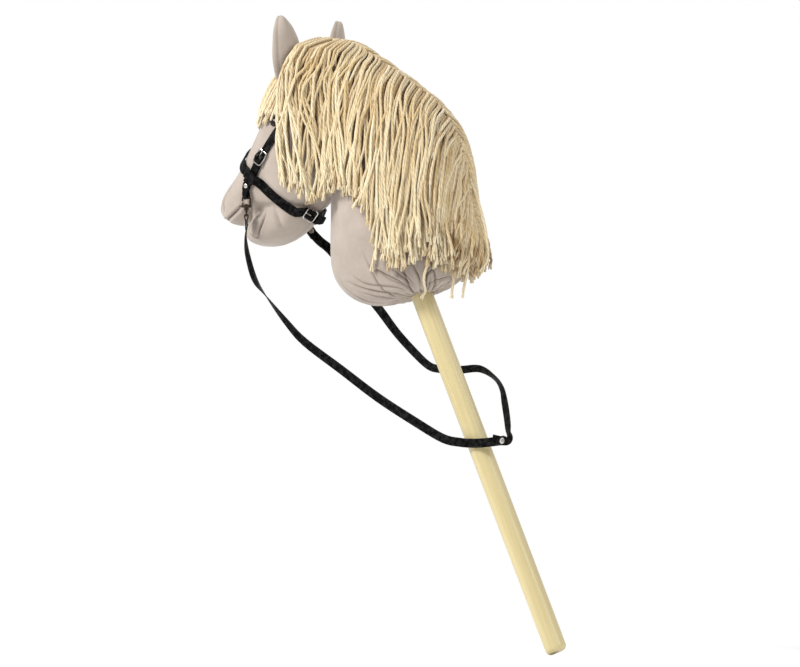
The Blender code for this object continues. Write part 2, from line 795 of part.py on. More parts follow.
def make_snap_hook(side_name, matrix, eye_turn, lever_side):
    """A small snap hook about its own frame: X across the hook, -Z towards the rein.

    lever_side is -1 where the trigger is on the -X leg; eye_turn turns the swivel eye.
    """
    wire = []
    for degrees in range(0, 181, 20):
        angle = math.radians(degrees)
        c = math.copysign(abs(math.cos(angle)) ** HOOK_SQUARENESS, math.cos(angle))
        rise = abs(math.sin(angle)) ** HOOK_SQUARENESS - 1
        wire.append((HOOK_HALF_WIDTH * c, 0.0, HOOK_HALF_WIDTH * rise))
    wire.append((-HOOK_HALF_WIDTH, 0.0, -HOOK_HALF_WIDTH - 0.8 * MM))
    wire.insert(0, (HOOK_HALF_WIDTH, 0.0, -7.5 * MM))
    wire.insert(0, (HOOK_HALF_WIDTH, 0.0, HOOK_BASE_TOP - 1 * MM))
    wire = [(-lever_side * x, y, z) for x, y, z in wire]
    body_name = "snap_hook_" + side_name
    body = add_object(body_name, tube_mesh(body_name, wire, HOOK_WIRE), STEEL)
    base = add_object(
        body_name + "_base",
        box_mesh(
            body_name + "_base",
            (-HOOK_HALF_WIDTH - HOOK_WIRE, -1.9 * MM, HOOK_BASE_BOTTOM),
            (HOOK_HALF_WIDTH + HOOK_WIRE, 1.9 * MM, HOOK_BASE_TOP),
        ),
    )
    rounding = base.modifiers.new("rounded edges", "BEVEL")
    rounding.width = 0.7 * MM
    rounding.segments = 1
    barrel = turned(
        body_name + "_barrel",
        [
            (0.0, HOOK_BASE_TOP - 0.6 * MM),
            (HOOK_BARREL_RADIUS, HOOK_BASE_TOP - 0.6 * MM),
            (HOOK_BARREL_RADIUS, HOOK_BARREL_BOTTOM + 0.5 * MM),
            (HOOK_BARREL_RADIUS - 0.5 * MM, HOOK_BARREL_BOTTOM),
            (0.0, HOOK_BARREL_BOTTOM),
        ],
    )
    shank_hole = turned(
        body_name + "_shank_hole",
        [
            (0.0, HOOK_BASE_TOP + 1 * MM),
            (HOOK_SHANK_RADIUS + GAP, HOOK_BASE_TOP + 1 * MM),
            (HOOK_SHANK_RADIUS + GAP, HOOK_BARREL_BOTTOM - 1 * MM),
            (0.0, HOOK_BARREL_BOTTOM - 1 * MM),
        ],
        None,
        12,
    )
    pivot_x = lever_side * HOOK_LEVER_PIVOT[0]
    pivot_z = HOOK_LEVER_PIVOT[1]
    slot_ends = sorted((pivot_x - lever_side * 2 * MM, pivot_x + lever_side * 3 * MM))
    lever_slot = add_object(
        body_name + "_lever_slot",
        box_mesh(
            body_name + "_lever_slot",
            (slot_ends[0], -1.0 * MM, HOOK_BASE_BOTTOM - 1 * MM),
            (slot_ends[1], 1.0 * MM, HOOK_BASE_TOP + 1 * MM),
        ),
    )
    pin_hole = turned(
        body_name + "_pin_hole",
        [(0.0, 3 * MM), (0.75 * MM, 3 * MM), (0.75 * MM, -3 * MM), (0.0, -3 * MM)],
        None,
        10,
    )
    pivot = Matrix.Translation((pivot_x, 0, pivot_z))
    stand = Matrix.Rotation(math.radians(90), 4, "X")
    for helper in (body, base, barrel, shank_hole, lever_slot):
        helper.matrix_world = matrix
    pin_hole.matrix_world = matrix @ pivot @ stand
    boolean(body, base, "UNION")
    boolean(body, barrel, "UNION")
    boolean(body, shank_hole)
    boolean(body, lever_slot)
    boolean(body, pin_hole)

    pin = turned(
        "snap_pin_" + side_name,
        [(0.0, 1.9 * MM), (0.45 * MM, 1.9 * MM), (0.45 * MM, -1.9 * MM), (0.0, -1.9 * MM)],
        STEEL,
        10,
    )
    pin.matrix_world = matrix @ pivot @ stand

    lever_name = "snap_lever_" + side_name
    reach = [
        (lever_side * 4.6 * MM - pivot_x, 0.0, 4.4 * MM),
        (lever_side * 4.75 * MM - pivot_x, 0.0, 2.6 * MM),
        (lever_side * 5.0 * MM - pivot_x, 0.0, 1.2 * MM),
        (0.0, 0.0, 0.0),
    ]
    thumb = [
        (0.0, 0.0, 0.0),
        (lever_side * 1.6 * MM, 0.0, 0.4 * MM),
        (lever_side * 3.2 * MM, 0.0, 0.2 * MM),
        (lever_side * 4.6 * MM, 0.0, -0.9 * MM),
    ]
    lever = add_object(lever_name, tube_mesh(lever_name, reach, 0.75 * MM), STEEL)
    thumb_name = lever_name + "_thumb"
    thumb_piece = add_object(thumb_name, tube_mesh(thumb_name, thumb, 0.7 * MM))
    hub = turned(
        lever_name + "_hub",
        [(0.0, 0.75 * MM), (1.35 * MM, 0.75 * MM), (1.35 * MM, -0.75 * MM), (0.0, -0.75 * MM)],
        None,
        12,
    )
    hub_hole = turned(
        lever_name + "_hub_hole",
        [(0.0, 2 * MM), (0.7 * MM, 2 * MM), (0.7 * MM, -2 * MM), (0.0, -2 * MM)],
        None,
        10,
    )
    lever.matrix_world = matrix @ pivot
    thumb_piece.matrix_world = matrix @ pivot
    hub.matrix_world = matrix @ pivot @ stand
    hub_hole.matrix_world = matrix @ pivot @ stand
    boolean(lever, hub, "UNION")
    boolean(lever, thumb_piece, "UNION")
    boolean(lever, hub_hole)

    eye_name = "snap_eye_" + side_name
    half = REIN_WIDTH / 2 + 0.8 * MM + HOOK_EYE_WIRE
    shoulder = HOOK_BARREL_BOTTOM - GAP - HOOK_EYE_WIRE
    corner = 1.1 * MM
    loop = [
        (1.2 * MM, 0.0, shoulder),
        (half - corner, 0.0, shoulder - 1.6 * MM),
        (half, 0.0, shoulder - 1.6 * MM - corner),
        (half, 0.0, HOOK_EYE_BAR + corner),
        (half - corner, 0.0, HOOK_EYE_BAR),
    ]
    loop = loop + [(-x, y, z) for x, y, z in reversed(loop)]
    eye = add_object(eye_name, tube_mesh(eye_name, loop, HOOK_EYE_WIRE, closed=True), STEEL)
    shank = turned(
        eye_name + "_shank",
        [
            (0.0, HOOK_BASE_TOP + GAP + 0.8 * MM),
            (1.5 * MM, HOOK_BASE_TOP + GAP + 0.7 * MM),
            (1.9 * MM, HOOK_BASE_TOP + GAP),
            (HOOK_SHANK_RADIUS, HOOK_BASE_TOP + GAP),
            (HOOK_SHANK_RADIUS, HOOK_BARREL_BOTTOM - GAP),
            (1.7 * MM, HOOK_BARREL_BOTTOM - GAP),
            (1.5 * MM, HOOK_BARREL_BOTTOM - GAP - 1.6 * MM),
            (0.0, HOOK_BARREL_BOTTOM - GAP - 1.6 * MM),
        ],
        None,
        12,
    )
    turn = Matrix.Rotation(eye_turn, 4, "Z")
    eye.matrix_world = matrix @ turn
    shank.matrix_world = matrix @ turn
    boolean(eye, shank, "UNION")


# Where things lie

# Controls of a line laid over the forms: x and z in millimetres and the angle that a ray
# comes in at, 0 from the left, 90 along the line's crest and 180 from the right.
CROWN_LEFT = (
    (-380.5, 517.5, 0),
    (-381.5, 524, 0),
    (-381, 529.5, 0),
    (-375.5, 538, 0),
    (-369, 547, 0),
    (-361.5, 561, 0),
    (-340, 590.5, 0),
    (-320, 620, 0),
    (-307, 646, 12),
    (-303, 650, 45),
    (-300, 652, 70),
    (-299, 652, 90),
)
CROWN_RIGHT = (
    (-300, 652, 110),
    (-303, 650, 135),
    (-307, 646, 168),
    (-320, 620, 180),
    (-340, 590.5, 180),
    (-361.5, 561, 180),
    (-372, 543, 180),
    (-376, 529, 180),
    (-372.5, 516.5, 180),
    (-365.5, 505.5, 180),
)
CROWN_CREST = Vector((-0.2, 0, 0.98))
NOSEBAND_LEFT = (
    (-335, 511, -90),
    (-330, 508, -60),
    (-325, 505, -35),
    (-326, 499.5, -10),
    (-337, 508, 0),
    (-349, 518.5, 0),
    (-364, 532.5, 0),
    (-371.5, 536, 15),
    (-371, 530, 38),
    (-361.3, 526.7, 70),
    (-353, 529.5, 90),
)
NOSEBAND_CREST = Vector((-0.735, 0, 0.678))
NOSEBAND_BUCKLE = Vector((-311, -20, 492.5)) * MM
CREST_POINTS = (
    (-289, 689),
    (-270, 678),
    (-250, 669),
    (-225, 655),
    (-199, 641),
    (-174, 626),
    (-156, 608),
    (-140, 590),
    (-129, 572),
    (-120, 548),
    (-114, 522),
    (-109, 490),
)
NECK_MIDDLE = Vector((-225, 0, 540)) * MM

# The way that the reins' flat side faces where they show it.
SIDE_VIEW = Vector((0.5, -0.866, 0)).normalized()

# Each rein's route in millimetres, from its snap to the other rein, and its roll about
# its own length: 0 shows the flat side to the side view, 90 the edge.
REIN_LEFT = (
    (-379.3, -48.8, 478, 92),
    (-380.4, -48.5, 468, 100),
    (-378.0, -48, 449, 120),
    (-368.6, -48, 421.4, 126),
    (-355.0, -46, 402.8, 90),
    (-330.0, -43, 373.4, 52),
    (-307.6, -40, 350.7, 33),
    (-261.6, -36, 319.1, 24),
    (-215.6, -32, 287.4, 18),
    (-170.1, -27, 260.2, 15),
    (-136.3, -22.5, 241.5, 15),
    (-115.5, -19, 236.9, 12),
    (-100.0, -17.2, 236.0, 8),
    (-89.0, -17.6, 236.3, 2),
    (-78.3, -17.3, 237.2, 0),
    (-73.9, -15.7, 237.8, 0),
    (-70.6, -11.4, 238.4, 0),
    (-69.4, -8, 238.8, 0),
    (-68.3, -5, 239.2, 0),
    (-67.2, -1.9, 239.6, 0),
)
REIN_RIGHT = (
    (-338.6, 49, 465.3, 0),
    (-325.0, 50, 454.8, 0),
    (-296.0, 51.5, 424, 12),
    (-261.5, 50, 388, 20),
    (-233.6, 42, 360.9, 28),
    (-203.0, 31, 337.7, 30),
    (-182.6, 25, 324.1, 32),
    (-168.5, 22, 320.2, 33),
    (-152.8, 22, 319.6, 33),
    (-141.2, 28, 319.1, 33),
    (-122.7, 38, 320.2, 40),
    (-106.1, 42, 310.6, 66),
    (-94.0, 38, 298, 60),
    (-87.4, 33, 283, 47),
    (-78.7, 23, 266.5, 47),
    (-72.5, 15, 254, 52),
    (-68.3, 9.5, 246, 70),
    (-66.0, 3.6, 240.6, 42),
    (-65.0, -1.5, 238.8, 2),
    (-66.6, -5.4, 238.7, 0),
    (-67.8, -8.6, 238.8, 0),
    (-69.3, -12.7, 239.4, 0),
    (-72.3, -20.8, 241, 0),
)
JOIN = Vector((-69.4, -8, 238.8)) * MM
JOIN_OUT = Vector((0.94, -0.342, 0)).normalized()
JOIN_REACH = 14 * MM
REIN_RIGHT_RIVET = Vector((-350.4, 48, 477)) * MM

# The yarn: where its locks hang and how low they end, front to back.
MANE_STATIONS = 14
MANE_HANG = ((0.0, -333), (0.3, -285), (0.6, -205), (0.85, -132), (1.0, -98))
MANE_HANG_BACK_RIGHT = -112
MANE_BACK_HALF = 15
MANE_HEMS = (
    (-334, 512),
    (-320, 505),
    (-300, 512),
    (-280, 518),
    (-258, 508),
    (-236, 511),
    (-205, 508),
    (-190, 474),
    (-178, 448),
    (-160, 441),
    (-140, 444),
    (-120, 438),
    (-94, 434),
)
MANE_ROWS = (0.0, 0.03, 0.075, 0.13, 0.2, 0.3, 0.43, 0.6, 0.8, 1.0)

# The forelock's middle line over the poll and brow: x, z, the way out in degrees from
# upright, and its half width.
FORELOCK_LINE = (
    (-297, 688, 8, 22),
    (-304, 688, 11, 23),
    (-311, 687, 16, 24),
    (-318, 685, 22, 24.5),
    (-324, 682, 30, 25),
    (-331, 677, 37, 25),
    (-338, 671, 42, 25),
    (-352, 655, 50, 26),
    (-365, 637, 55, 26),
    (-376, 618, 57, 25),
    (-384, 602, 58, 22),
)


def laid_line(skin, controls, crest, half_loop=False):
    """A line over the forms from its controls; half a loop is mirrored to the right."""
    points, outs = [], []
    middle_line = smooth(controls, 5)
    for x, z, degrees in middle_line:
        angle = math.radians(degrees)
        way = Vector((0, -math.cos(angle), 0)) + crest * math.sin(angle)
        way.normalize()
        start = Vector((x, 0, z)) * MM + way * 0.15
        found = skin.hit(start, -way)
        points.append(found[0])
        outs.append(found[1].lerp(way, 0.4).normalized())
    if half_loop:
        mirror = Matrix.Diagonal((1, -1, 1))
        points += [mirror @ p for p in reversed(points[1:-1])]
        outs += [mirror @ o for o in reversed(outs[1:-1])]
    return Line(evened(points, 5, half_loop), evened(outs, 8, half_loop), half_loop)


def slab(name, grid, thicknesses, finish):
    """A closed body over a grid of points, thickened outwards by its own amount at each."""
    grid = np.array(grid, float)
    across = np.gradient(grid, axis=0)
    down = np.gradient(grid, axis=1)
    outs = np.cross(across, down)
    outs /= np.linalg.norm(outs, axis=2, keepdims=True)
    outer = grid + outs * np.array(thicknesses)[:, :, None]
    rows, columns = grid.shape[:2]
    points = list(grid.reshape(-1, 3)) + list(outer.reshape(-1, 3))
    faces = []
    for layer in (0, rows * columns):
        for i in range(rows - 1):
            for j in range(columns - 1):
                a = layer + i * columns + j
                faces.append((a, a + 1, a + columns + 1, a + columns))
    rim = [j for j in range(columns)]
    rim += [i * columns + columns - 1 for i in range(1, rows)]
    rim += [(rows - 1) * columns + j for j in range(columns - 2, -1, -1)]
    rim += [i * columns for i in range(rows - 2, 0, -1)]
    for a, b in zip(rim, rim[1:] + rim[:1]):
        faces.append((a, b, rows * columns + b, rows * columns + a))
    return add_object(name, mesh_of(name, points, faces), finish)


def make_mane(side, skin, crest):
    """Half of the mane, as the outside of all its locks: over the crest and down a side."""
    way = Vector((0, -side, 0))
    hangs = np.array(MANE_HANG, float)
    if side > 0:
        hangs[-1, 1] = MANE_HANG_BACK_RIGHT
    hems = np.array(MANE_HEMS, float)
    grid, thicknesses = [], []
    for i in range(MANE_STATIONS):
        share = i / (MANE_STATIONS - 1)
        top, _, _, out = crest.at(crest.length * share)
        top = top + out * MANE_CLEARANCE
        hang_x = np.interp(share, hangs[:, 0], hangs[:, 1]) * MM
        hem = np.interp(hang_x / MM, hems[:, 0], hems[:, 1]) * MM
        row, thick, reach = [], [], 0.0
        lean = 1 - 0.45 * eased((share - 0.7) / 0.25)
        for v in MANE_ROWS:
            x = top.x + (hang_x - top.x) * eased(v / 0.4)
            z = top.z + (hem - top.z) * v
            found = skin.hit(Vector((x, side * 0.15, z)), way)
            if found:
                reach = max(reach, abs(found[0].y) + MANE_CLEARANCE)
            reach = max(reach, (0.4 + MANE_BACK_HALF * eased(v / 0.25)) * MM if v else 0.0)
            row.append((x, side * (reach if v else 0.4 * MM), z))
            thick.append(MANE_THICKNESS * lean * (1 - 0.3 * eased((v - 0.8) / 0.2)))
        grid.append(row)
        thicknesses.append(thick)
    if side < 0:
        grid, thicknesses = grid[::-1], thicknesses[::-1]
    return slab("mane_left" if side < 0 else "mane_right", grid, thicknesses, YARN)


def make_forelock(skin):
    """The locks that fall forward between the ears, as one slab over the poll and brow."""
    line = FORELOCK_LINE
    count = 9
    grid, thicknesses = [], []
    for i in range(count):
        across = 2 * i / (count - 1) - 1
        row, thick = [], []
        for j, (x, z, degrees, half_width) in enumerate(line):
            v = j / (len(line) - 1)
            angle = math.radians(degrees)
            out = Vector((-math.sin(angle), 0, math.cos(angle)))
            middle = Vector((x, across * half_width, z)) * MM
            found = skin.hit(middle + out * 0.06, -out)
            away = (found[0] - middle).dot(out) if found else -12 * MM
            row.append(middle + out * (max(away, -12 * MM) + 0.8 * MM))
            edge = 1 - 0.5 * abs(across) ** 3
            thick.append(FORELOCK_THICKNESS * edge * (1 - 0.35 * eased((v - 0.8) / 0.2)))
        grid.append(row)
        thicknesses.append(thick)
    return slab("forelock", grid, thicknesses, YARN)


def make_eye(side, skin, head):
    """A domed bead on a shank that runs into the head, held there by a washer."""
    name = "left" if side < 0 else "right"
    x, z = EYE_PLACE
    place, out, _ = skin.hit(Vector((x, side * 0.15, z)), Vector((0, -side, 0)))
    level_way = Vector((0, 0, 1)).cross(out).normalized()
    matrix = axes_matrix(place, level_way, out.cross(level_way), out)
    dome = []
    for i in range(6):
        angle = math.radians(18 * i)
        dome.append((EYE_RADIUS * math.sin(angle), EYE_HEIGHT * math.cos(angle)))
    eye = turned(
        "eye_" + name,
        dome
        + [
            (EYE_RADIUS, -0.6 * MM),
            (EYE_SHANK_RADIUS, -0.6 * MM),
            (EYE_SHANK_RADIUS, -EYE_SHANK_LENGTH),
            (0.0, -EYE_SHANK_LENGTH),
        ],
        BLACK_GLOSS,
        16,
    )
    eye.matrix_world = matrix
    depth = EYE_WASHER_DEPTH
    washer = add_object(
        "eye_washer_" + name,
        washer_mesh("eye_washer_" + name, EYE_SHANK_RADIUS + GAP, 6 * MM, -depth - 1.2 * MM, -depth),
        BLACK_GLOSS,
    )
    washer.matrix_world = matrix
    seat = EYE_RADIUS + GAP
    bore = EYE_SHANK_RADIUS + GAP
    pocket = turned(
        f"eye_{name}_seat",
        [
            (0.0, 4 * MM),
            (seat, 4 * MM),
            (seat, -0.9 * MM),
            (bore, -0.9 * MM),
            (bore, -depth + GAP),
            (6.3 * MM, -depth + GAP),
            (6.3 * MM, -depth - 1.2 * MM - GAP),
            (bore, -depth - 1.2 * MM - GAP),
            (bore, -EYE_SHANK_LENGTH - GAP),
            (0.0, -EYE_SHANK_LENGTH - GAP),
        ],
        None,
        20,
    )
    pocket.matrix_world = matrix
    boolean(head, pocket)


def washer_mesh(name, inner, outer, low, high, steps=12):
    """A flat ring about Z."""
    points, faces = [], []
    for i in range(steps):
        angle = 2 * math.pi * i / steps
        for radius, height in ((outer, high), (outer, low), (inner, low), (inner, high)):
            points.append((radius * math.cos(angle), radius * math.sin(angle), height))
    for i in range(steps):
        a, b = 4 * i, 4 * ((i + 1) % steps)
        for k in range(4):
            faces.append((a + k, b + k, b + (k + 1) % 4, a + (k + 1) % 4))
    return mesh_of(name, points, faces)


def make_rein(name, eye_frame, tail_side, route):
    """A rein folded round its snap's eye, with its tail on one side of the eye's plane."""
    across = eye_frame.to_3x3() @ Vector((1, 0, 0))
    half_pitch = (STRAP_THICKNESS + GAP) / 2
    below = REIN_RIVET_BELOW
    flat = [(-half_pitch, -below + z) for z in REIN_TAIL_STEPS]
    flat.append((-1.35 * MM, -3.6 * MM))
    turn = []
    for degrees in (200, 160, 125, 90, 55, 20, -20):
        angle = math.radians(degrees)
        turn.append((REIN_FOLD_RADIUS * math.cos(angle), REIN_FOLD_RADIUS * math.sin(angle)))
    course = flat + turn + [(1.35 * MM, -3.6 * MM)]
    course += [(half_pitch, -below + z) for z in (3.5 * MM, 0.0, -4.6 * MM)]
    controls = []
    for n, z in course:
        place = eye_frame @ Vector((0, -tail_side * n, z + HOOK_EYE_BAR))
        controls.append((*place, *across))
    points = [Vector(r[:3]) * MM for r in route]
    before = Vector(controls[-1][:3])
    for i, (row, place) in enumerate(zip(route, points)):
        after = points[i + 1] if i + 1 < len(points) else place + (place - points[i - 1])
        along = (after - before).normalized()
        facing = JOIN_OUT if (place - JOIN).length < JOIN_REACH else SIDE_VIEW
        flat_way = facing.cross(along).normalized()
        edge_way = along.cross(flat_way)
        roll = math.radians(row[3])
        controls.append((*place, *(flat_way * math.cos(roll) + edge_way * math.sin(roll))))
        before = place
    rows = smooth(controls, 2)
    middles = [Vector(r[:3]) for r in rows]
    acrosses = []
    for i, r in enumerate(rows):
        along = (middles[min(i + 1, len(rows) - 1)] - middles[max(i - 1, 0)]).normalized()
        wide = Vector(r[3:])
        acrosses.append((wide - along * wide.dot(along)).normalized())
    return ribbon(name, middles, acrosses, [REIN_WIDTH] * len(rows), STRAP_THICKNESS)


def crossing(first, second, side):
    """How far along the first line it comes nearest to the second, on one side."""
    best = None
    for s in np.linspace(0, first.length, 600):
        place = first.point(float(s))
        if place.y * side <= 0.02:
            continue
        away = (second.point(second.nearest(place)) - place).length
        if best is None or away < best[0]:
            best = (away, float(s))
    return best[1]


def build():
    make_stick()
    bore = stick_bore()
    make_gather_tie()
    neck_rings = gathered(form_rings(NECK_SECTIONS), GATHER_FOLDS)
    neck = loft("neck", neck_rings, CLOTH)
    head = loft("head", form_rings(HEAD_SECTIONS), CLOTH)
    jaw = loft("lower_jaw", form_rings(JAW_SECTIONS), CLOTH)
    cloth = Skin([neck, head, jaw])
    face = Skin([head, jaw])
    neck_cutter = loft("neck_space", form_rings(NECK_SECTIONS, 1.4 * GAP))
    head_cutter = loft("head_space", form_rings(HEAD_SECTIONS, 1.4 * GAP))
    boolean(neck, bore)
    boolean(head, neck_cutter)
    boolean(jaw, head_cutter)
    boolean(jaw, neck_cutter)
    ear_spaces = []
    for name, side in (("left", -1), ("right", 1)):
        ear = make_ear("ear_" + name, side)
        boolean(ear, head_cutter)
        boolean(ear, neck_cutter)
        ear_spaces.append(make_ear(f"ear_{name}_space", side, None, GAP))
        make_eye(side, cloth, head)

    crown_line = laid_line(cloth, CROWN_LEFT + CROWN_RIGHT, CROWN_CREST)
    crown_line = crown_line.raised(cloth, CHEEK_WIDTH)
    bare_noseband = laid_line(face, NOSEBAND_LEFT, NOSEBAND_CREST, half_loop=True)
    keeper_rise = KEEPER_WALL + GAP
    loop_rise = 0.8 * MM
    cross_left = crossing(crown_line, bare_noseband, -1)
    keeper_s = cross_left - KEEPER_BELOW_CROSSING
    bar = CHEEK_BUCKLE_AT

    cheek_course = list(reversed(end_loop_course(keeper_rise)))
    cheek_course += [
        (keeper_s, level(0) + keeper_rise),
        (keeper_s + 4 * MM, level(0) + 0.8 * keeper_rise),
        (cross_left, level(0)),
        (cross_left + 8 * MM, level(0)),
    ]
    cheek_course = fold_course(bar, cheek_course)
    cheek = laid_strap("cheek_strap_left", crown_line, cheek_course, CHEEK_WIDTH)

    tail = [
        (cross_left + 6 * MM, level(1)),
        (cross_left, level(1)),
        (keeper_s + 4 * MM, level(1) + 0.8 * keeper_rise),
        (keeper_s, level(1) + keeper_rise),
        (keeper_s - 2 * MM, level(1) + keeper_rise, CHEEK_WIDTH * 0.7),
    ]
    billet = list(reversed(billet_course(bar, tail)))
    length = crown_line.length
    right_end = []
    for entry in end_loop_course(loop_rise):
        right_end.append((length - entry[0], *entry[1:]))
    span = np.linspace(bar + 24 * MM, length - 26 * MM, 25)
    crown_course = billet + [(float(s), level(0)) for s in span] + right_end
    crown = laid_strap("crown_strap", crown_line, crown_course, CHEEK_WIDTH)

    fold_slot, billet_slot = make_buckle("cheek_buckle", crown_line, bar, CHEEK_WIDTH)
    boolean(cheek, fold_slot)
    boolean(crown, billet_slot)
    cheek_keeper = make_keeper("cheek_keeper", crown_line, keeper_s, CHEEK_WIDTH, 2)

    covered = Skin([head, jaw, cheek, crown, cheek_keeper])
    noseband_line = bare_noseband.raised(covered, NOSEBAND_WIDTH)
    nose_bar = noseband_line.nearest(NOSEBAND_BUCKLE, 0.0, 60 * MM)
    noseband_line = noseband_line.straightened(nose_bar - 5 * MM, 12 * MM, 21 * MM, NOSEBAND_BUCKLE_RISE)
    nose_bar = noseband_line.nearest(NOSEBAND_BUCKLE, 0.0, 60 * MM)
    round_trip = noseband_line.length
    nose_keeper_s = nose_bar - 14.5 * MM
    nose_tail = [
        (nose_keeper_s + 3 * MM, level(1) + keeper_rise),
        (nose_keeper_s - 3 * MM, level(1) + keeper_rise),
        (nose_keeper_s - 6 * MM, level(1) + 2.8 * MM),
        (nose_keeper_s - 9 * MM, level(1) + 5.6 * MM, NOSEBAND_WIDTH * 0.8),
    ]
    billet = list(reversed(billet_course(nose_bar, nose_tail)))
    span = np.linspace(nose_bar + 18 * MM, round_trip + nose_bar - 26 * MM, 32)
    heel = [(float(s), level(0)) for s in span]
    heel += [
        (round_trip + nose_keeper_s - 3.4 * MM, level(0) + keeper_rise),
        (round_trip + nose_keeper_s + 2.6 * MM, level(0) + keeper_rise),
        (round_trip + nose_keeper_s + 4.6 * MM, level(0) + 0.15 * keeper_rise),
    ]
    nose_course = fold_course(round_trip + nose_bar, billet + heel)
    noseband = laid_strap("noseband", noseband_line, nose_course, NOSEBAND_WIDTH)
    for slot in make_buckle("noseband_buckle", noseband_line, nose_bar, NOSEBAND_WIDTH):
        boolean(noseband, slot)
    make_keeper("noseband_keeper", noseband_line, nose_keeper_s, NOSEBAND_WIDTH, 2)

    grip = 2 * STRAP_THICKNESS + 3 * GAP
    for name, strap, s, rise in (
        ("left", cheek, RIVET_AT, keeper_rise),
        ("right", crown, length - RIVET_AT, loop_rise),
    ):
        place, along, _, out = crown_line.at(s)
        top = place + out * (level(1) + rise + STRAP_THICKNESS / 2 + GAP)
        rivet_name = "cheek_rivet_" + name
        boolean(strap, make_rivet(rivet_name, top, out, along, CHEEK_RIVET_CAP_RADIUS, grip))

    place, _, _, out = crown_line.at(0.0)
    left_bar = place + out * LOOP_HEIGHT
    left_hook = axes_matrix(left_bar, Vector((1, 0, 0)), Vector((0, 1, 0)), Vector((0, 0, 1)))
    place, _, across, out = crown_line.at(length)
    right_bar = place + out * LOOP_HEIGHT
    pull = (REIN_RIGHT_RIVET - right_bar).normalized()
    wire_way = -(across - pull * across.dot(pull)).normalized()
    right_hook = axes_matrix(right_bar, wire_way, (-pull).cross(wire_way), -pull)
    settings = (
        ("left", left_hook, math.radians(-60), REIN_LEFT, -1),
        ("right", right_hook, math.radians(30), REIN_RIGHT, 1),
    )
    reins = {}
    for name, matrix, eye_turn, route, tail_side in settings:
        make_snap_hook(name, matrix, eye_turn, -1)
        eye_frame = matrix @ Matrix.Rotation(eye_turn, 4, "Z")
        rein = make_rein("rein_" + name, eye_frame, tail_side, route)
        reins[name] = rein
        axes = eye_frame.to_3x3()
        out = axes @ Vector((0, 1, 0)) * (1 if name == "right" else -1)
        at = eye_frame @ Vector((0, 0, HOOK_EYE_BAR - REIN_RIVET_BELOW)) + out * grip / 2
        up = axes @ Vector((0, 0, 1))
        boolean(rein, make_rivet("rein_rivet_" + name, at, out, up, RIVET_CAP_RADIUS, grip))

    top = JOIN + JOIN_OUT * (STRAP_THICKNESS * 1.5 + 2 * GAP)
    hole = make_rivet("join_rivet", top, JOIN_OUT, Vector((0, 0, 1)), JOIN_RIVET_CAP_RADIUS, grip)
    boolean(reins["left"], hole)
    boolean(reins["right"], hole)

    points, outs = [], []
    for x, z in CREST_POINTS:
        place = Vector((x, 0, z)) * MM
        way = (place - NECK_MIDDLE).normalized()
        found = cloth.hit(place + way * 0.05, -way)
        points.append(found[0])
        outs.append(way)
    points, outs = smooth(points, 3), smooth(outs, 3)
    crest = Line(points, outs)
    tape_line = crest.raised(cloth, TAPE_WIDTH)
    stations = np.linspace(8 * MM, crest.length, 26)
    course = [(float(s), GAP + TAPE_THICKNESS / 2) for s in stations]
    room = 2 * GAP
    laid_strap("mane_tape", tape_line, course, TAPE_WIDTH, 1, TAPE_THICKNESS, TAPE)
    sizes = (TAPE_WIDTH + room, 1, TAPE_THICKNESS + room)
    tape_space = laid_strap("mane_tape_space", tape_line, course, *sizes, None)
    low, high = bar + 20 * MM, length - 30 * MM
    under_yarn = [entry[:2] for entry in crown_course if low < entry[0] < high]
    sizes = (CHEEK_WIDTH + room, 2, STRAP_THICKNESS + room)
    crown_space = laid_strap("crown_strap_space", crown_line, under_yarn, *sizes, None)
    for side, space in zip((-1, 1), ear_spaces):
        mane = make_mane(side, cloth, crest)
        for cutter in (space, neck_cutter, head_cutter, crown_space, tape_space):
            boolean(mane, cutter)
    forelock = make_forelock(Skin([neck, head, crown]))
    for cutter in (head_cutter, neck_cutter, crown_space):
        boolean(forelock, cutter)
    for space in ear_spaces:
        boolean(forelock, space)


build()
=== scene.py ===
import sys
import logging
import math
from collections.abc import Sequence
from dataclasses import dataclass
from enum import Enum
from operator import itemgetter

import bmesh
import bpy
import numpy as np
from mathutils import Matrix, Vector
from mathutils.bvhtree import BVHTree


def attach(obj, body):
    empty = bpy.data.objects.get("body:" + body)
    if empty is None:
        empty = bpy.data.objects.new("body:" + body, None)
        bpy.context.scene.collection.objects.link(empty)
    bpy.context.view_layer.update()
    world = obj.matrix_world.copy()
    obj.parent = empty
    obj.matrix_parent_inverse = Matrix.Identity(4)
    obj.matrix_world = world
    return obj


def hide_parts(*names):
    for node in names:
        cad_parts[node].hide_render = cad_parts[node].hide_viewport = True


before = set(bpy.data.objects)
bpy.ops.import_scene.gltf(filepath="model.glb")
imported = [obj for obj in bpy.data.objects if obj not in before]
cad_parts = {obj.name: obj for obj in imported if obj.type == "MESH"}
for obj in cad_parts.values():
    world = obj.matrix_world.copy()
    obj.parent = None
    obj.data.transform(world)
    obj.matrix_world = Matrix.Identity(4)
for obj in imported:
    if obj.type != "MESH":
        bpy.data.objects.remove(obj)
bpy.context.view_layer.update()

LOG = logging.getLogger("hobby_horse")
ROOT = "horse_and_stick"
MM = 0.001
STICK_LEAN = math.radians(23.6)

Colour = tuple[float, float, float]


class Side(Enum):
    """The horse's own left or right; the value is the sign of Y there."""

    LEFT = -1
    RIGHT = 1

    @property
    def word(self) -> str:
        """The side's name as the pieces carry it."""
        return self.name.lower()


# Node graphs


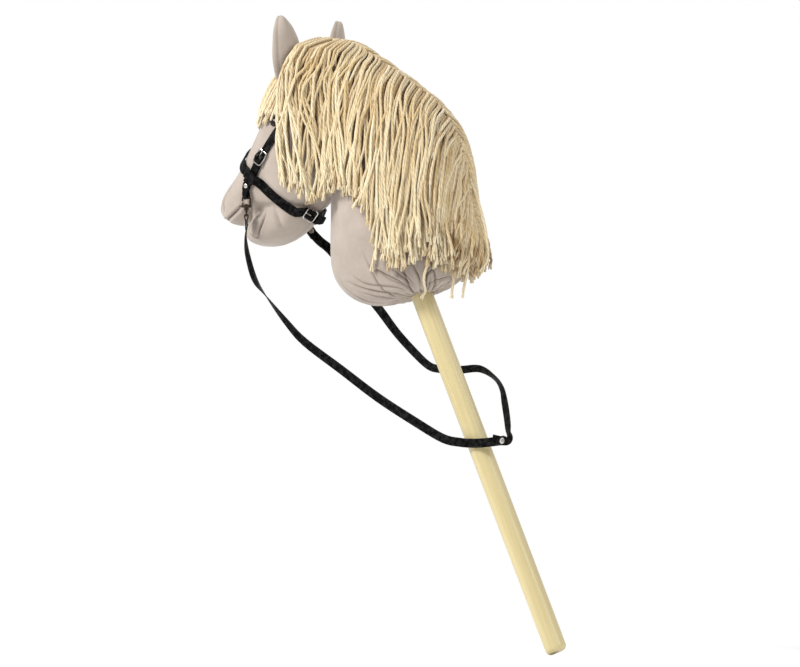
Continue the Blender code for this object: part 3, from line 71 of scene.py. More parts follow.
class Signal:
    """An output of a node graph, which stands in sums as a number does."""

    def __init__(self, graph: "Graph", socket: bpy.types.NodeSocket | None) -> None:
        """Wraps one output socket of a graph."""
        self.graph = graph
        self.socket = socket

    def __getitem__(self, name: str | int) -> "Signal":
        """Another output of the same node."""
        return Signal(self.graph, self.socket.node.outputs[name])

    def math(self, operation: str, first: "Value", second: "Value" = 0.0) -> "Signal":
        """One Math node.

        Args:
            operation: The node's operation.
            first: Its first value.
            second: Its second value, where it has one.

        Returns:
            The node's result.
        """
        return self.graph.add("ShaderNodeMath", {"operation": operation}, {0: first, 1: second})

    def __add__(self, other: "Value") -> "Signal":
        """Signal plus value."""
        return self.math("ADD", self, other)

    def __rsub__(self, other: "Value") -> "Signal":
        """Value minus signal."""
        return self.math("SUBTRACT", other, self)

    def __mul__(self, other: "Value") -> "Signal":
        """Signal times value."""
        return self.math("MULTIPLY", self, other)

    def __pow__(self, power: "Value") -> "Signal":
        """Signal to a power."""
        return self.math("POWER", self, power)


Value = Signal | float | int


class Graph:
    """A shader or geometry node tree that is filled node by node."""

    def __init__(self, tree: bpy.types.NodeTree) -> None:
        """Starts on an existing tree."""
        self.tree = tree

    def add(
        self,
        kind: str,
        settings: dict[str, object] | None = None,
        sockets: dict[str | int, object] | None = None,
        out: str | int = 0,
    ) -> Signal:
        """Adds a node.

        Args:
            kind: The node's type.
            settings: Its properties, set first.
            sockets: Values or signals for its inputs, by name or number.
            out: Which output is wanted.

        Returns:
            That output.
        """
        node = self.tree.nodes.new(kind)
        for key, value in (settings or {}).items():
            setattr(node, key, value)
        self.plug(node, sockets or {})
        return Signal(self, node.outputs[out] if len(node.outputs) else None)

    def plug(self, node: bpy.types.Node, sockets: dict[str | int, object]) -> None:
        """Sets or links a node's inputs.

        Args:
            node: The node.
            sockets: Values or signals for its inputs, by name or number.
        """
        for key, value in sockets.items():
            if isinstance(value, Signal):
                self.tree.links.new(value.socket, node.inputs[key])
            else:
                node.inputs[key].default_value = value

    def object_place(self, turn: Sequence[float] = (0, 0, 0), scale: Sequence[float] = (1, 1, 1)) -> Signal:
        """The place in the object's own space.

        Args:
            turn: How the pattern is turned, in radians.
            scale: How far it is stretched along its own axes.

        Returns:
            The mapped vector.
        """
        place = self.add("ShaderNodeTexCoord", out="Object")
        sockets = {"Vector": place, "Rotation": tuple(turn), "Scale": tuple(scale)}
        return self.add("ShaderNodeMapping", {"vector_type": "TEXTURE"}, sockets)

    def noise(self, vector: Signal, grain: float, detail: float = 2.0, rough: float = 0.5) -> Signal:
        """Soft noise between 0 and 1.

        Args:
            vector: Where it is read.
            grain: Size of its grains in metres.
            detail: Its octaves.
            rough: How strong the finer octaves are.

        Returns:
            The noise value.
        """
        sockets = {"Vector": vector, "Scale": 1.0 / grain, "Detail": detail, "Roughness": rough}
        return self.add("ShaderNodeTexNoise", None, sockets)

    def ramp(
        self, value: Signal, low: float, high: float, start: float = 0.0, end: float = 1.0
    ) -> Signal:
        """A value mapped from one range to another, held at both ends.

        Args:
            value: The value.
            low: Where the range starts.
            high: Where it ends.
            start: The result at its start.
            end: The result at its end.

        Returns:
            The mapped value.
        """
        sockets = {"Value": value, "From Min": low, "From Max": high, "To Min": start, "To Max": end}
        return self.add("ShaderNodeMapRange", {"clamp": True}, sockets)

    def mix(self, share: Value, first: "Signal | Colour", second: "Signal | Colour") -> Signal:
        """Two colours mixed.

        Args:
            share: How much of the second.
            first: The first colour.
            second: The second colour.

        Returns:
            The mixed colour.
        """
        sockets: dict[str | int, object] = {0: share}
        for key, colour in ((6, first), (7, second)):
            sockets[key] = colour if isinstance(colour, Signal) else (*colour, 1.0)
        return self.add("ShaderNodeMix", {"data_type": "RGBA"}, sockets, out=2)

    def attribute(self, name: str, out: str = "Fac") -> Signal:
        """A named attribute of the mesh."""
        return self.add("ShaderNodeAttribute", {"attribute_name": name}, None, out)

    def bump(
        self, height: Signal, distance: float, strength: float, under: Signal | None = None
    ) -> Signal:
        """A bumped normal.

        Args:
            height: The height between 0 and 1.
            distance: The height of 1 in metres.
            strength: Strength of the bump.
            under: A normal that it is laid on.

        Returns:
            The normal.
        """
        sockets: dict[str | int, object] = {"Height": height, "Distance": distance, "Strength": strength}
        if under is not None:
            sockets["Normal"] = under
        return self.add("ShaderNodeBump", None, sockets)


def srgb(red: int, green: int, blue: int) -> Colour:
    """A screen colour as linear light.

    Args:
        red: Red from 0 to 255.
        green: Green from 0 to 255.
        blue: Blue from 0 to 255.

    Returns:
        The linear colour.
    """
    found = []
    for part in (red, green, blue):
        part /= 255
        found.append(part / 12.92 if part <= 0.04045 else ((part + 0.055) / 1.055) ** 2.4)
    return tuple(found)


# Finishes


@dataclass(frozen=True)
class Finish:
    """A finish of the toy: the record's slot and the look of its material."""

    name: str
    slot: str

    def material(self) -> bpy.types.Material:
        """The finish's material, made the first time it is asked for.

        Returns:
            The material.
        """
        name = "look_" + self.name
        found = bpy.data.materials.get(name)
        if found is None:
            found = bpy.data.materials.new(name)
            found.use_nodes = True
            graph = Graph(found.node_tree)
            graph.plug(found.node_tree.nodes["Principled BSDF"], self.look(graph))
        return found

    def look(self, graph: Graph) -> dict[str, object]:
        """What the shader's sockets get; each finish says its own."""
        raise NotImplementedError


@dataclass(frozen=True)
class BrushedCloth(Finish):
    """Plain brushed cotton with a short nap."""

    name: str = "cloth"
    slot: str = "cloth"
    light: Colour = srgb(184, 172, 161)
    dark: Colour = srgb(168, 155, 143)
    # Painted shade: the dark colour that folds, creases and seam grooves are mixed towards.
    crease: Colour = srgb(84, 68, 56)

    def look(self, graph: Graph) -> dict[str, object]:
        """Mottling, nap and painted shade in the folds, creases and seam grooves.

        Args:
            graph: The material's graph.

        Returns:
            What the shader's sockets get.
        """
        place = graph.object_place()
        mottle = graph.noise(place, 28 * MM, 3.0, 0.55)
        nap = graph.noise(place, 1.1 * MM, 3.0, 0.7)
        fibre = graph.noise(place, 0.35 * MM, 2.0, 0.6)
        shade = graph.ramp(mottle * 0.6 + nap * 0.4, 0.35, 0.65)
        colour = graph.mix(shade, self.dark, self.light)
        # Painted shade: the fold attribute holds how much shade each fold, crease and seam groove gets.
        fold = graph.ramp(graph.attribute("fold"), 0.0, 1.0, end=0.85)
        colour = graph.mix(fold, colour, self.crease)
        normal = graph.bump(nap * 0.6 + fibre * 0.4, 0.35 * MM, 0.55)
        return {
            "Base Color": colour,
            "Roughness": graph.ramp(nap, 0.3, 0.7, 0.82, 0.96),
            "Normal": normal,
            "Sheen Weight": 0.25,
            "Sheen Roughness": 0.5,
            "Specular IOR Level": 0.2,
        }


@dataclass(frozen=True)
class TwistedYarn(Finish):
    """Soft twisted cotton yarn; the plies follow each strand."""

    name: str = "yarn"
    slot: str = "yarn"
    light: Colour = srgb(240, 227, 194)
    warm: Colour = srgb(211, 184, 134)
    # Painted shade: the brown that ply grooves and buried strands are mixed towards.
    deep: Colour = srgb(112, 67, 15)
    tip: Colour = srgb(255, 247, 212)
    pitch: float = 7.5 * MM
    plies: int = 3

    def look(self, graph: Graph) -> dict[str, object]:
        """Plies, the strands' own tones, paler ends, fine fuzz, and painted shade in the ply grooves and on
        buried strands.

        Args:
            graph: The material's graph.

        Returns:
            What the shader's sockets get.
        """
        around = graph.add("ShaderNodeSeparateXYZ", None, {0: graph.attribute("ply", "Vector")})
        angle = graph.add("ShaderNodeMath", {"operation": "ARCTAN2"}, {0: around["Y"], 1: around["X"]})
        along = graph.attribute("along")
        place = graph.object_place()
        wander = graph.noise(place, 7 * MM, 2.0) * 1.6
        turn = angle * self.plies + along * (2 * math.pi / self.pitch) + wander
        ridge = graph.add("ShaderNodeMath", {"operation": "SINE"}, {0: turn}) * 0.5 + 0.5
        fuzz = graph.noise(place, 0.5 * MM, 3.0, 0.7)
        blotch = graph.noise(place, 16 * MM, 2.0)
        tone = graph.attribute("tone")
        buried_shade = graph.attribute("deep")
        light = graph.mix(graph.ramp(tone * 0.7 + blotch * 0.5, 0.3, 0.95), self.warm, self.light)
        light = graph.mix(graph.ramp(along, 0.07, 0.25, end=0.6), light, self.tip)
        # Painted shade in the grooves between plies and on strands deep in the mane, with a little random
        # fuzz tone.
        groove = graph.ramp(ridge ** 0.6, 0.0, 0.75, 0.32, 0.0)
        dark = groove + buried_shade * 0.7 + (0.5 - fuzz) * 0.2
        colour = graph.mix(graph.ramp(dark, 0.0, 1.0), light, self.deep)
        normal = graph.bump(ridge ** 0.6, 0.35 * MM, 0.7)
        normal = graph.bump(fuzz, 0.2 * MM, 0.4, normal)
        return {
            "Base Color": colour,
            "Roughness": graph.ramp(fuzz, 0.3, 0.7, 0.8, 0.95),
            "Normal": normal,
            "Sheen Weight": 0.2,
            "Specular IOR Level": 0.2,
        }


@dataclass(frozen=True)
class WovenTape(Finish):
    """The cotton tape that the mane is sewn to."""

    name: str = "crest_tape"
    slot: str = "crest_tape"
    light: Colour = srgb(232, 214, 176)
    dark: Colour = srgb(196, 172, 128)
    threads: float = 180.0

    def look(self, graph: Graph) -> dict[str, object]:
        """A fine weave.

        Args:
            graph: The material's graph.

        Returns:
            What the shader's sockets get.
        """
        sockets = {"Vector": graph.object_place(), "Scale": self.threads, "Distortion": 0.6}
        weft, warp = (
            graph.add("ShaderNodeTexWave", {"bands_direction": way}, sockets, "Fac") for way in "ZY"
        )
        weave = weft * 0.5 + warp * 0.5
        return {
            "Base Color": graph.mix(weave, self.dark, self.light),
            "Roughness": graph.ramp(weave, 0.0, 1.0, 0.95, 0.85),
            "Normal": graph.bump(weave, 0.2 * MM, 0.6),
        }


@dataclass(frozen=True)
class BlackStrap(Finish):
    """Black strap with a fine grain, which shines in patches."""

    name: str = "strap"
    slot: str = "strap"
    face: Colour = srgb(8, 7, 7)
    # Partly wear, partly a painted highlight along the edges.
    worn: Colour = srgb(40, 39, 39)
    grain: float = 1.2 * MM

    def look(self, graph: Graph) -> dict[str, object]:
        """Grain, rubbed patches and a paler edge, which is partly wear and partly a painted highlight.

        Args:
            graph: The material's graph.

        Returns:
            What the shader's sockets get.
        """
        place = graph.object_place()
        sockets = {"Vector": place, "Scale": 1.0 / self.grain}
        cells = graph.add("ShaderNodeTexVoronoi", {"feature": "DISTANCE_TO_EDGE"}, sockets)
        grain = graph.ramp(cells, 0.0, 0.25)
        rub = graph.noise(place, 5 * MM, 4.0, 0.7)
        edge = graph.attribute("edge")
        # The edge is paler partly from wear and partly as a painted highlight.
        worn = graph.ramp(rub, 0.5, 0.75, end=0.5) + edge * 0.7
        return {
            "Base Color": graph.mix(worn, self.face, self.worn),
            "Roughness": graph.ramp(rub, 0.3, 0.7, 0.3, 0.6),
            "Normal": graph.bump(grain, 0.2 * MM, 0.9),
            "Specular IOR Level": 0.02,
            "Coat Weight": graph.ramp(rub, 0.4, 0.65, end=0.38),
            "Coat Roughness": 0.45,
        }


@dataclass(frozen=True)
class BrightSteel(Finish):
    """Plated steel wire and caps, a little rubbed."""

    name: str = "steel"
    slot: str = "steel"
    bright: Colour = srgb(228, 225, 221)
    dull: Colour = srgb(160, 152, 146)

    def look(self, graph: Graph) -> dict[str, object]:
        """Smudges and very fine scratches.

        Args:
            graph: The material's graph.

        Returns:
            What the shader's sockets get.
        """
        place = graph.object_place()
        smudge = graph.noise(place, 4 * MM, 4.0, 0.6)
        scratch = graph.noise(graph.object_place((0.4, 0.3, 0.0), (1, 1, 12)), 0.25 * MM, 2.0)
        return {
            "Base Color": graph.mix(graph.ramp(smudge, 0.4, 0.7), self.bright, self.dull),
            "Metallic": 1.0,
            "Roughness": graph.ramp(smudge * 0.7 + scratch * 0.3, 0.3, 0.7, 0.14, 0.34),
            "Normal": graph.bump(scratch, 0.03 * MM, 0.4),
        }


@dataclass(frozen=True)
class VarnishedWood(Finish):
    """A pale varnished dowel; the grain runs along it."""

    name: str = "wood"
    slot: str = "wood"
    pale: Colour = srgb(210, 195, 145)
    warm: Colour = srgb(201, 184, 133)
    line: Colour = srgb(182, 161, 108)

    def look(self, graph: Graph) -> dict[str, object]:
        """Long grain, pores and a clear coat.

        Args:
            graph: The material's graph.

        Returns:
            What the shader's sockets get.
        """
        turn = (0.0, -STICK_LEAN, 0.0)
        broad = graph.noise(graph.object_place(turn, (1, 1, 34)), 6 * MM, 3.0, 0.5)
        fine = graph.noise(graph.object_place(turn, (1, 1, 55)), 1.3 * MM, 3.0, 0.6)
        pores = graph.noise(graph.object_place(turn, (1, 1, 16)), 0.5 * MM, 1.0)
        colour = graph.mix(graph.ramp(broad, 0.35, 0.65), self.pale, self.warm)
        colour = graph.mix(graph.ramp(fine, 0.5, 0.75, end=0.4), colour, self.line)
        colour = graph.mix(graph.ramp(pores, 0.66, 0.76, end=0.3), colour, self.line)
        return {
            "Base Color": colour,
            "Roughness": graph.ramp(broad, 0.3, 0.7, 0.34, 0.42),
            "Normal": graph.bump(fine, 0.06 * MM, 0.35),
            "Coat Weight": graph.ramp(broad, 0.3, 0.7, 0.6, 0.8),
            "Coat Roughness": 0.14,
        }


@dataclass(frozen=True)
class EyeGloss(Finish):
    """Polished black for the eyes."""

    name: str = "black_eye"
    slot: str = "black_eye"
    black: Colour = (0.006, 0.005, 0.005)
    brown: Colour = (0.02, 0.013, 0.01)

    def look(self, graph: Graph) -> dict[str, object]:
        """Depth and a slightly uneven polish.

        Args:
            graph: The material's graph.

        Returns:
            What the shader's sockets get.
        """
        smudge = graph.noise(graph.object_place(), 3 * MM, 2.0)
        return {
            "Base Color": graph.mix(smudge, self.black, self.brown),
            "Roughness": graph.ramp(smudge, 0.3, 0.7, 0.08, 0.16),
            "Specular IOR Level": 0.25,
            "Coat Weight": 0.2,
            "Coat Roughness": 0.04,
        }


CLOTH = BrushedCloth()
YARN = TwistedYarn()
TAPE = WovenTape()
STRAP = BlackStrap()
STEEL = BrightSteel()
# The snap hooks get the same plated steel, much darker than the buckles.
HOOK_STEEL = BrightSteel("hook_steel", "steel", srgb(98, 84, 74), srgb(38, 33, 30))
WOOD = VarnishedWood()
EYE = EyeGloss()
FINISHES: dict[str, Finish] = {f.slot: f for f in (CLOTH, YARN, TAPE, STRAP, STEEL, WOOD, EYE)}


# Shapes and helpers


def eased(t: float | np.ndarray) -> float | np.ndarray:
    """A share that starts and ends gently, held between 0 and 1."""
    t = np.clip(t, 0.0, 1.0)
    return t * t * (3 - 2 * t)


def smooth(points: Sequence[Sequence[float]], per_span: int) -> np.ndarray:
    """Points along the smooth curve that passes through the given points.

    Args:
        points: The points that it passes through.
        per_span: How many points each span gets.

    Returns:
        The curve's points.
    """
    rows = np.array(points, float)
    ends = np.vstack([2 * rows[0] - rows[1], rows, 2 * rows[-1] - rows[-2]])
    found = []
    for a, b, c, d in zip(ends, ends[1:], ends[2:], ends[3:]):
        for t in np.linspace(0, 1, per_span, endpoint=False):
            found.append(
                b
                + 0.5 * t * (c - a)
                + t * t * (a - 2.5 * b + 2 * c - 0.5 * d)
                + t**3 * (1.5 * (b - c) + 0.5 * (d - a))
            )
    return np.array(found + [rows[-1]])


def unit(rows: np.ndarray) -> np.ndarray:
    """Vectors along the last axis at length one."""
    return rows / np.maximum(np.linalg.norm(rows, axis=-1, keepdims=True), 1e-12)


def mesh_of(name: str, points: Sequence[Sequence[float]], faces: Sequence[Sequence[int]]) -> bpy.types.Mesh:
    """A smooth-shaded mesh with its faces turned outwards.

    Args:
        name: The mesh's name.
        points: Its points.
        faces: Its faces, as rows of point numbers.

    Returns:
        The mesh.
    """
    mesh = bpy.data.meshes.new(name)
    mesh.from_pydata([tuple(p) for p in points], [], [tuple(f) for f in faces])
    edit = bmesh.new()
    edit.from_mesh(mesh)
    bmesh.ops.remove_doubles(edit, verts=edit.verts, dist=1e-6)
    bmesh.ops.recalc_face_normals(edit, faces=edit.faces)
    edit.to_mesh(mesh)
    edit.free()
    mesh.shade_smooth()
    return mesh


def shown(name: str, data: bpy.types.ID) -> bpy.types.Object:
    """Puts a mesh, camera or light into the scene.

    Args:
        name: The object's name.
        data: The mesh, camera or light.

    Returns:
        The object.
    """
    obj = bpy.data.objects.new(name, data)
    bpy.context.scene.collection.objects.link(obj)
    return obj


def settled(obj: bpy.types.Object) -> bpy.types.Mesh:
    """Turns an object into a plain mesh, with its modifiers applied.

    Args:
        obj: The object, which goes.

    Returns:
        The mesh.
    """
    bpy.context.view_layer.update()
    graph = bpy.context.evaluated_depsgraph_get()
    mesh = bpy.data.meshes.new_from_object(obj.evaluated_get(graph))
    bpy.data.objects.remove(obj)
    return mesh


def modified(mesh: bpy.types.Mesh, kind: str, **settings: object) -> bpy.types.Mesh:
    """A mesh after one modifier.

    Args:
        mesh: The mesh.
        kind: The modifier's type.
        **settings: Its properties.

    Returns:
        The new mesh.
    """
    obj = shown(mesh.name, mesh)
    modifier = obj.modifiers.new("shaping", kind)
    for key, value in settings.items():
        setattr(modifier, key, value)
    return settled(obj)


def vectors(items: bpy.types.bpy_prop_collection, key: str) -> np.ndarray:
    """A vector of each item, such as its place.

    Args:
        items: The items.
        key: The vector's name.

    Returns:
        The vectors as rows.
    """
    rows = np.empty(len(items) * 3)
    items.foreach_get(key, rows)
    return rows.reshape(-1, 3)


def points_of(mesh: bpy.types.Mesh) -> np.ndarray:
    """A mesh's points as rows."""
    return vectors(mesh.vertices, "co")


def normals_of(mesh: bpy.types.Mesh) -> np.ndarray:
    """A mesh's point normals as rows."""
    return vectors(mesh.vertex_normals, "vector")


def move_points(mesh: bpy.types.Mesh, rows: np.ndarray) -> None:
    """Puts a mesh's points at these rows."""
    mesh.vertices.foreach_set("co", rows.ravel())
    mesh.update()


def note(mesh: bpy.types.Mesh, name: str, values: np.ndarray) -> None:
    """Stores one number for each point of a mesh under a name."""
    layer = mesh.attributes.get(name) or mesh.attributes.new(name, "FLOAT", "POINT")
    layer.data.foreach_set("value", np.ascontiguousarray(values, np.float32))


def finished(name: str, mesh: bpy.types.Mesh, finish: Finish, *nodes: str) -> bpy.types.Object:
    """A finished piece: dressed, riding on the horse and standing for its nodes.

    Args:
        name: The piece's name.
        mesh: Its mesh, in place.
        finish: Its finish.
        *nodes: The nodes that it stands for.

    Returns:
        The piece.
    """
    mesh.materials.clear()
    mesh.materials.append(finish.material())
    obj = shown(name, mesh)
    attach(obj, ROOT)
    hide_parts(*nodes)
    faces = sum(len(p.vertices) - 2 for p in mesh.polygons)
    LOG.info("%s: %d triangles, %s", name, faces, finish.name)
    return obj


def rings_mesh(name: str, rings: np.ndarray, closed_ends: bool = True) -> bpy.types.Mesh:
    """A skin over rings of as many points each.

    Args:
        name: The mesh's name.
        rings: Rings, points and coordinates.
        closed_ends: True if a face closes each end.

    Returns:
        The mesh.
    """
    count, sides = rings.shape[:2]
    faces = []
    for low in range(0, (count - 1) * sides, sides):
        for i in range(sides):
            j = (i + 1) % sides
            faces.append((low + i, low + j, low + sides + j, low + sides + i))
    if closed_ends:
        faces.append(tuple(range(sides)))
        faces.append(tuple(reversed(range((count - 1) * sides, count * sides))))
    return mesh_of(name, rings.reshape(-1, 3), faces)


def turned(name: str, profile: Sequence[tuple[float, float]], sides: int, place: Matrix) -> bpy.types.Mesh:
    """A turned shape.

    Args:
        name: The mesh's name.
        profile: Radius and height down its outer side; a radius of 0 is a pole.
        sides: How many sides it has.
        place: Puts its axis, Z, and its foot in place.

    Returns:
        The mesh.
    """
    angles = np.linspace(0, 2 * math.pi, sides, endpoint=False)
    rings = [
        [place @ Vector((r * math.cos(a), r * math.sin(a), h)) for a in angles] for r, h in profile
    ]
    return rings_mesh(name, np.array(rings), closed_ends=False)


def bell(away: np.ndarray | float, width: float, middle: float = 0.0) -> np.ndarray | float:
    """A smooth bump of height 1: how high it is at some distances."""
    return np.exp(-(((away - middle) / width) ** 2))


def calmed(rows: np.ndarray, times: int) -> np.ndarray:
    """Draws rows towards their neighbours, with both ends kept.

    Args:
        rows: The rows, which change.
        times: How many times it is done.

    Returns:
        The same rows.
    """
    for _ in range(times):
        rows[1:-1] = (rows[:-2] + 2 * rows[1:-1] + rows[2:]) / 4
    return rows


Contact = tuple[Vector, Vector, float]


class Skin:
    """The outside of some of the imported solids."""

    def __init__(self, *nodes: str) -> None:
        """Reads the solids.

        Args:
            *nodes: Their nodes' names.
        """
        self.trees = []
        for name in nodes:
            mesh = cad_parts[name].data
            faces = [tuple(p.vertices) for p in mesh.polygons]
            self.trees.append(BVHTree.FromPolygons([tuple(v.co) for v in mesh.vertices], faces))

    @staticmethod
    def first(found: Sequence[tuple]) -> Contact | None:
        """The nearest of what was found.

        Args:
            found: What each solid gave: place, way out, face and distance.

        Returns:
            The place, the way out there and the distance, or None.
        """
        met = [(place, out, far) for place, out, _, far in found if place is not None]
        return min(met, key=itemgetter(2), default=None)

    def hit(self, start: Vector, way: Vector) -> Contact | None:
        """The first point that a ray meets."""
        return self.first([tree.ray_cast(start, way) for tree in self.trees])

    def nearest(self, place: Vector, reach: float = 1.0) -> Contact | None:
        """The nearest point, if there is one within reach."""
        return self.first([tree.find_nearest(place, reach) for tree in self.trees])


# Studio


@dataclass(frozen=True)
class Lamp:
    """A square soft light: its place is right of the view, up and towards the camera."""

    name: str
    place: tuple[float, float, float]
    size: float
    power: float


@dataclass
class Studio:
    """The pale floor, the white room round it, the soft lights and the camera."""

    azimuth: float = math.radians(30)
    distance: float = 20.0
    frame_width: float = 0.905
    sensor: float = 36.0
    aim: tuple[float, float, float] = (-0.1540, -0.0889, 0.3603)
    middle: tuple[float, float, float] = (-0.2, 0.0, 0.42)
    floor: float = -3.6 * MM
    reach: float = 1.4
    pale: Colour = (0.95, 0.95, 0.95)
    glow: float = 0.62
    lamps: tuple[Lamp, ...] = (
        Lamp("key", (-1.75, 1.35, 1.05), 0.7, 50.0),
        Lamp("fill", (1.7, 0.9, 1.5), 1.2, 8.0),
        Lamp("side", (1.9, 1.5, 0.0), 1.0, 6.0),
        Lamp("back", (0.9, 1.3, -1.9), 1.2, 16.0),
    )

    def back(self) -> Vector:
        """The way from the object to the camera."""
        return Vector((math.sin(self.azimuth), -math.cos(self.azimuth), 0.0))

    @staticmethod
    def put(obj: bpy.types.Object, place: Vector, way: Vector) -> None:
        """Puts a camera or light at a place and turns it to look one way."""
        obj.location = place
        obj.rotation_euler = way.to_track_quat("-Z", "Y").to_euler()

    def camera(self) -> None:
        """Makes the scene's camera."""
        data = bpy.data.cameras.new("camera")
        data.sensor_width = self.sensor
        data.lens = self.sensor * self.distance / self.frame_width
        data.clip_end = 10 * self.distance
        data.dof.use_dof = False
        obj = shown("camera", data)
        self.put(obj, Vector(self.aim) + self.back() * self.distance, -self.back())
        bpy.context.scene.camera = obj

    def ground(self) -> None:
        """Makes the floor, a flat round sheet."""
        profile = [(r, self.floor) for r in (0.0, 0.6, self.reach)]
        mesh = turned("floor", profile, 96, Matrix())
        if mesh.polygons[0].normal.z < 0:
            mesh.flip_normals()
        material = bpy.data.materials.new("pale_floor")
        material.use_nodes = True
        graph = Graph(material.node_tree)
        cloud = graph.noise(graph.object_place(), 0.4, 2.0)
        colour = graph.mix(cloud, self.pale, tuple(0.985 * c for c in self.pale))
        sockets = {"Base Color": colour, "Roughness": 0.9, "Specular IOR Level": 0.1}
        graph.plug(material.node_tree.nodes["Principled BSDF"], sockets)
        mesh.materials.append(material)
        shown("floor", mesh)

    def hang(self, lamp: Lamp) -> None:
        """Makes one of the lamps, which looks at the toy's middle.

        Args:
            lamp: The lamp.
        """
        right = Vector((math.cos(self.azimuth), math.sin(self.azimuth), 0.0))
        middle = Vector(self.middle)
        data = bpy.data.lights.new(lamp.name, "AREA")
        data.shape = "SQUARE"
        data.size = lamp.size
        data.energy = lamp.power
        aside, up, near = lamp.place
        place = middle + right * aside + Vector((0, 0, up)) + self.back() * near
        self.put(shown(lamp.name, data), place, middle - place)

    def light(self) -> None:
        """Makes the soft light all round and the lamps."""
        world = bpy.data.worlds.new("studio")
        bpy.context.scene.world = world
        world.use_nodes = True
        graph = Graph(world.node_tree)
        seen = graph.add("ShaderNodeLightPath", out="Is Camera Ray")
        sockets = {"Color": (1.0, 1.0, 1.0, 1.0), "Strength": seen * (1.0 - self.glow) + self.glow}
        graph.plug(world.node_tree.nodes["Background"], sockets)
        for lamp in self.lamps:
            self.hang(lamp)
        bpy.context.scene.view_settings.view_transform = "Standard"


# Reins


@dataclass(frozen=True)
class HookEye:
    """Where a snap hook's eye is: its middle, its bar's way and the way up it."""

    middle: Vector
    across: Vector
    out: Vector
    up: Vector
    bar: float = -23.0 * MM

    def place(self, out: float, up: float) -> Vector:
        """A place in the plane across the eye's bar, from the bar's middle."""
        return self.middle + self.out * out + self.up * (self.bar + up)


@dataclass
class Rein:
    """One flat rein: folded round its hook's eye, hung, and riveted to the other one."""

    side: Side
    eye: HookEye
    route: Sequence[tuple[float, float, float, float]]
    length: float
    width: float = 10.5 * MM
    thickness: float = 1.3 * MM
    gap: float = 0.3 * MM
    fold_radius: float = 2.0 * MM
    fold_neck: tuple[float, float] = (1.35 * MM, -3.6 * MM)
    fold_turn: tuple[float, ...] = (200, 160, 125, 90, 55, 20, -20)
    rivet_below: float = 8.0 * MM
    tail_steps: tuple[float, ...] = (-8.0 * MM, -2.5 * MM, 3.5 * MM)
    front_steps: tuple[float, ...] = (3.5 * MM, 0.0, -4.6 * MM)
    edge_round: float = 0.45 * MM
    line_across: tuple[float, ...] = (0.76, 0.8, 0.84)
    line_height: tuple[float, ...] = (1.0, 0.86, 1.0)
    end_slim: float = 0.55
    join: tuple[float, float, float] = (-69.4, -8, 238.8)
    join_out: tuple[float, float, float] = (0.94, -0.342, 0)
    join_reach: float = 14 * MM
    view: tuple[float, float, float] = (0.5, -0.866, 0)

    def fold(self) -> list[tuple[float, ...]]:
        """The tail, the turn round the eye and the way back down.

        Returns:
            Rows of a place and the strap's way across there.
        """
        half_pitch = (self.thickness + self.gap) / 2
        neck, neck_up = self.fold_neck
        course = [(-half_pitch, z - self.rivet_below) for z in self.tail_steps]
        course.append((-neck, neck_up))
        for degrees in self.fold_turn:
            angle = math.radians(degrees)
            course.append((self.fold_radius * math.cos(angle), self.fold_radius * math.sin(angle)))
        course.append((neck, neck_up))
        course += [(half_pitch, z - self.rivet_below) for z in self.front_steps]
        return [(*self.eye.place(-self.side.value * n, z), *self.eye.across) for n, z in course]

    def controls(self) -> list[tuple[float, ...]]:
        """All the rows that the rein passes through.

        Returns:
            Rows of a place and the strap's way across there.
        """
        rows = self.fold()
        points = [Vector(r[:3]) * MM for r in self.route]
        points.append(2 * points[-1] - points[-2])
        before = Vector(rows[-1][:3])
        joined, join_out = Vector(self.join) * MM, Vector(self.join_out).normalized()
        view = Vector(self.view)
        for row, place, after in zip(self.route, points, points[1:]):
            along = (after - before).normalized()
            facing = join_out if (place - joined).length < self.join_reach else view
            flat_way = facing.cross(along).normalized()
            edge_way = along.cross(flat_way)
            roll = math.radians(row[3])
            rows.append((*place, *(flat_way * math.cos(roll) + edge_way * math.sin(roll))))
            before = place
        return rows

    def section(self) -> np.ndarray:
        """The strap's section, with a pressed line along each edge.

        Returns:
            Rows of how far across, how far through and 1 where it is near an edge.
        """
        half, deep, bevel = self.width / 2, self.thickness / 2, self.edge_round
        right = [(half * a, deep * t) for a, t in zip(self.line_across, self.line_height)]
        right += [(half - bevel, deep), (half, deep - bevel), (half, -deep + bevel), (half - bevel, -deep)]
        left = [(-a, t) for a, t in reversed(right)]
        ring = [*left[1:], (0.0, deep), *right, (0.0, -deep), left[0]]
        return np.array([(a, t, 1.0 if abs(a) > half - 1.5 * bevel else 0.0) for a, t in ring])

    def build(self) -> tuple[bpy.types.Mesh, list[tuple[float, float, float]]]:
        """The rein's mesh and its middle line.

        Returns:
            The mesh, with its edges noted, and the line's points.
        """
        rows = smooth(self.controls(), 5)
        middles, across = rows[:, :3], rows[:, 3:]
        along = unit(np.gradient(middles, axis=0))
        across = unit(across - along * np.sum(across * along, axis=1, keepdims=True))
        through = np.cross(along, across)
        section = self.section()
        through[[0, -1]] *= self.end_slim
        rings = [
            m + np.outer(section[:, 0], a) + np.outer(section[:, 1], t)
            for m, a, t in zip(middles, across, through)
        ]
        mesh = rings_mesh(f"rein_strap_{self.side.word}", np.array(rings))
        note(mesh, "edge", np.tile(section[:, 2], len(rings))[: len(mesh.vertices)])
        return mesh, [tuple(p) for p in middles]

    def make(self) -> bpy.types.Object:
        """Returns:
            The piece.
        """
        mesh, path = self.build()
        word = self.side.word
        obj = finished(f"rein_strap_{word}", mesh, STRAP, f"rein_{word}")
        steps = np.linalg.norm(np.diff(np.array(path), axis=0), axis=1)
        LOG.info("rein %s: %.1f mm along its middle", word, steps.sum() / MM)
        tuple(self.eye.place(0.0, 0.0))
        return obj


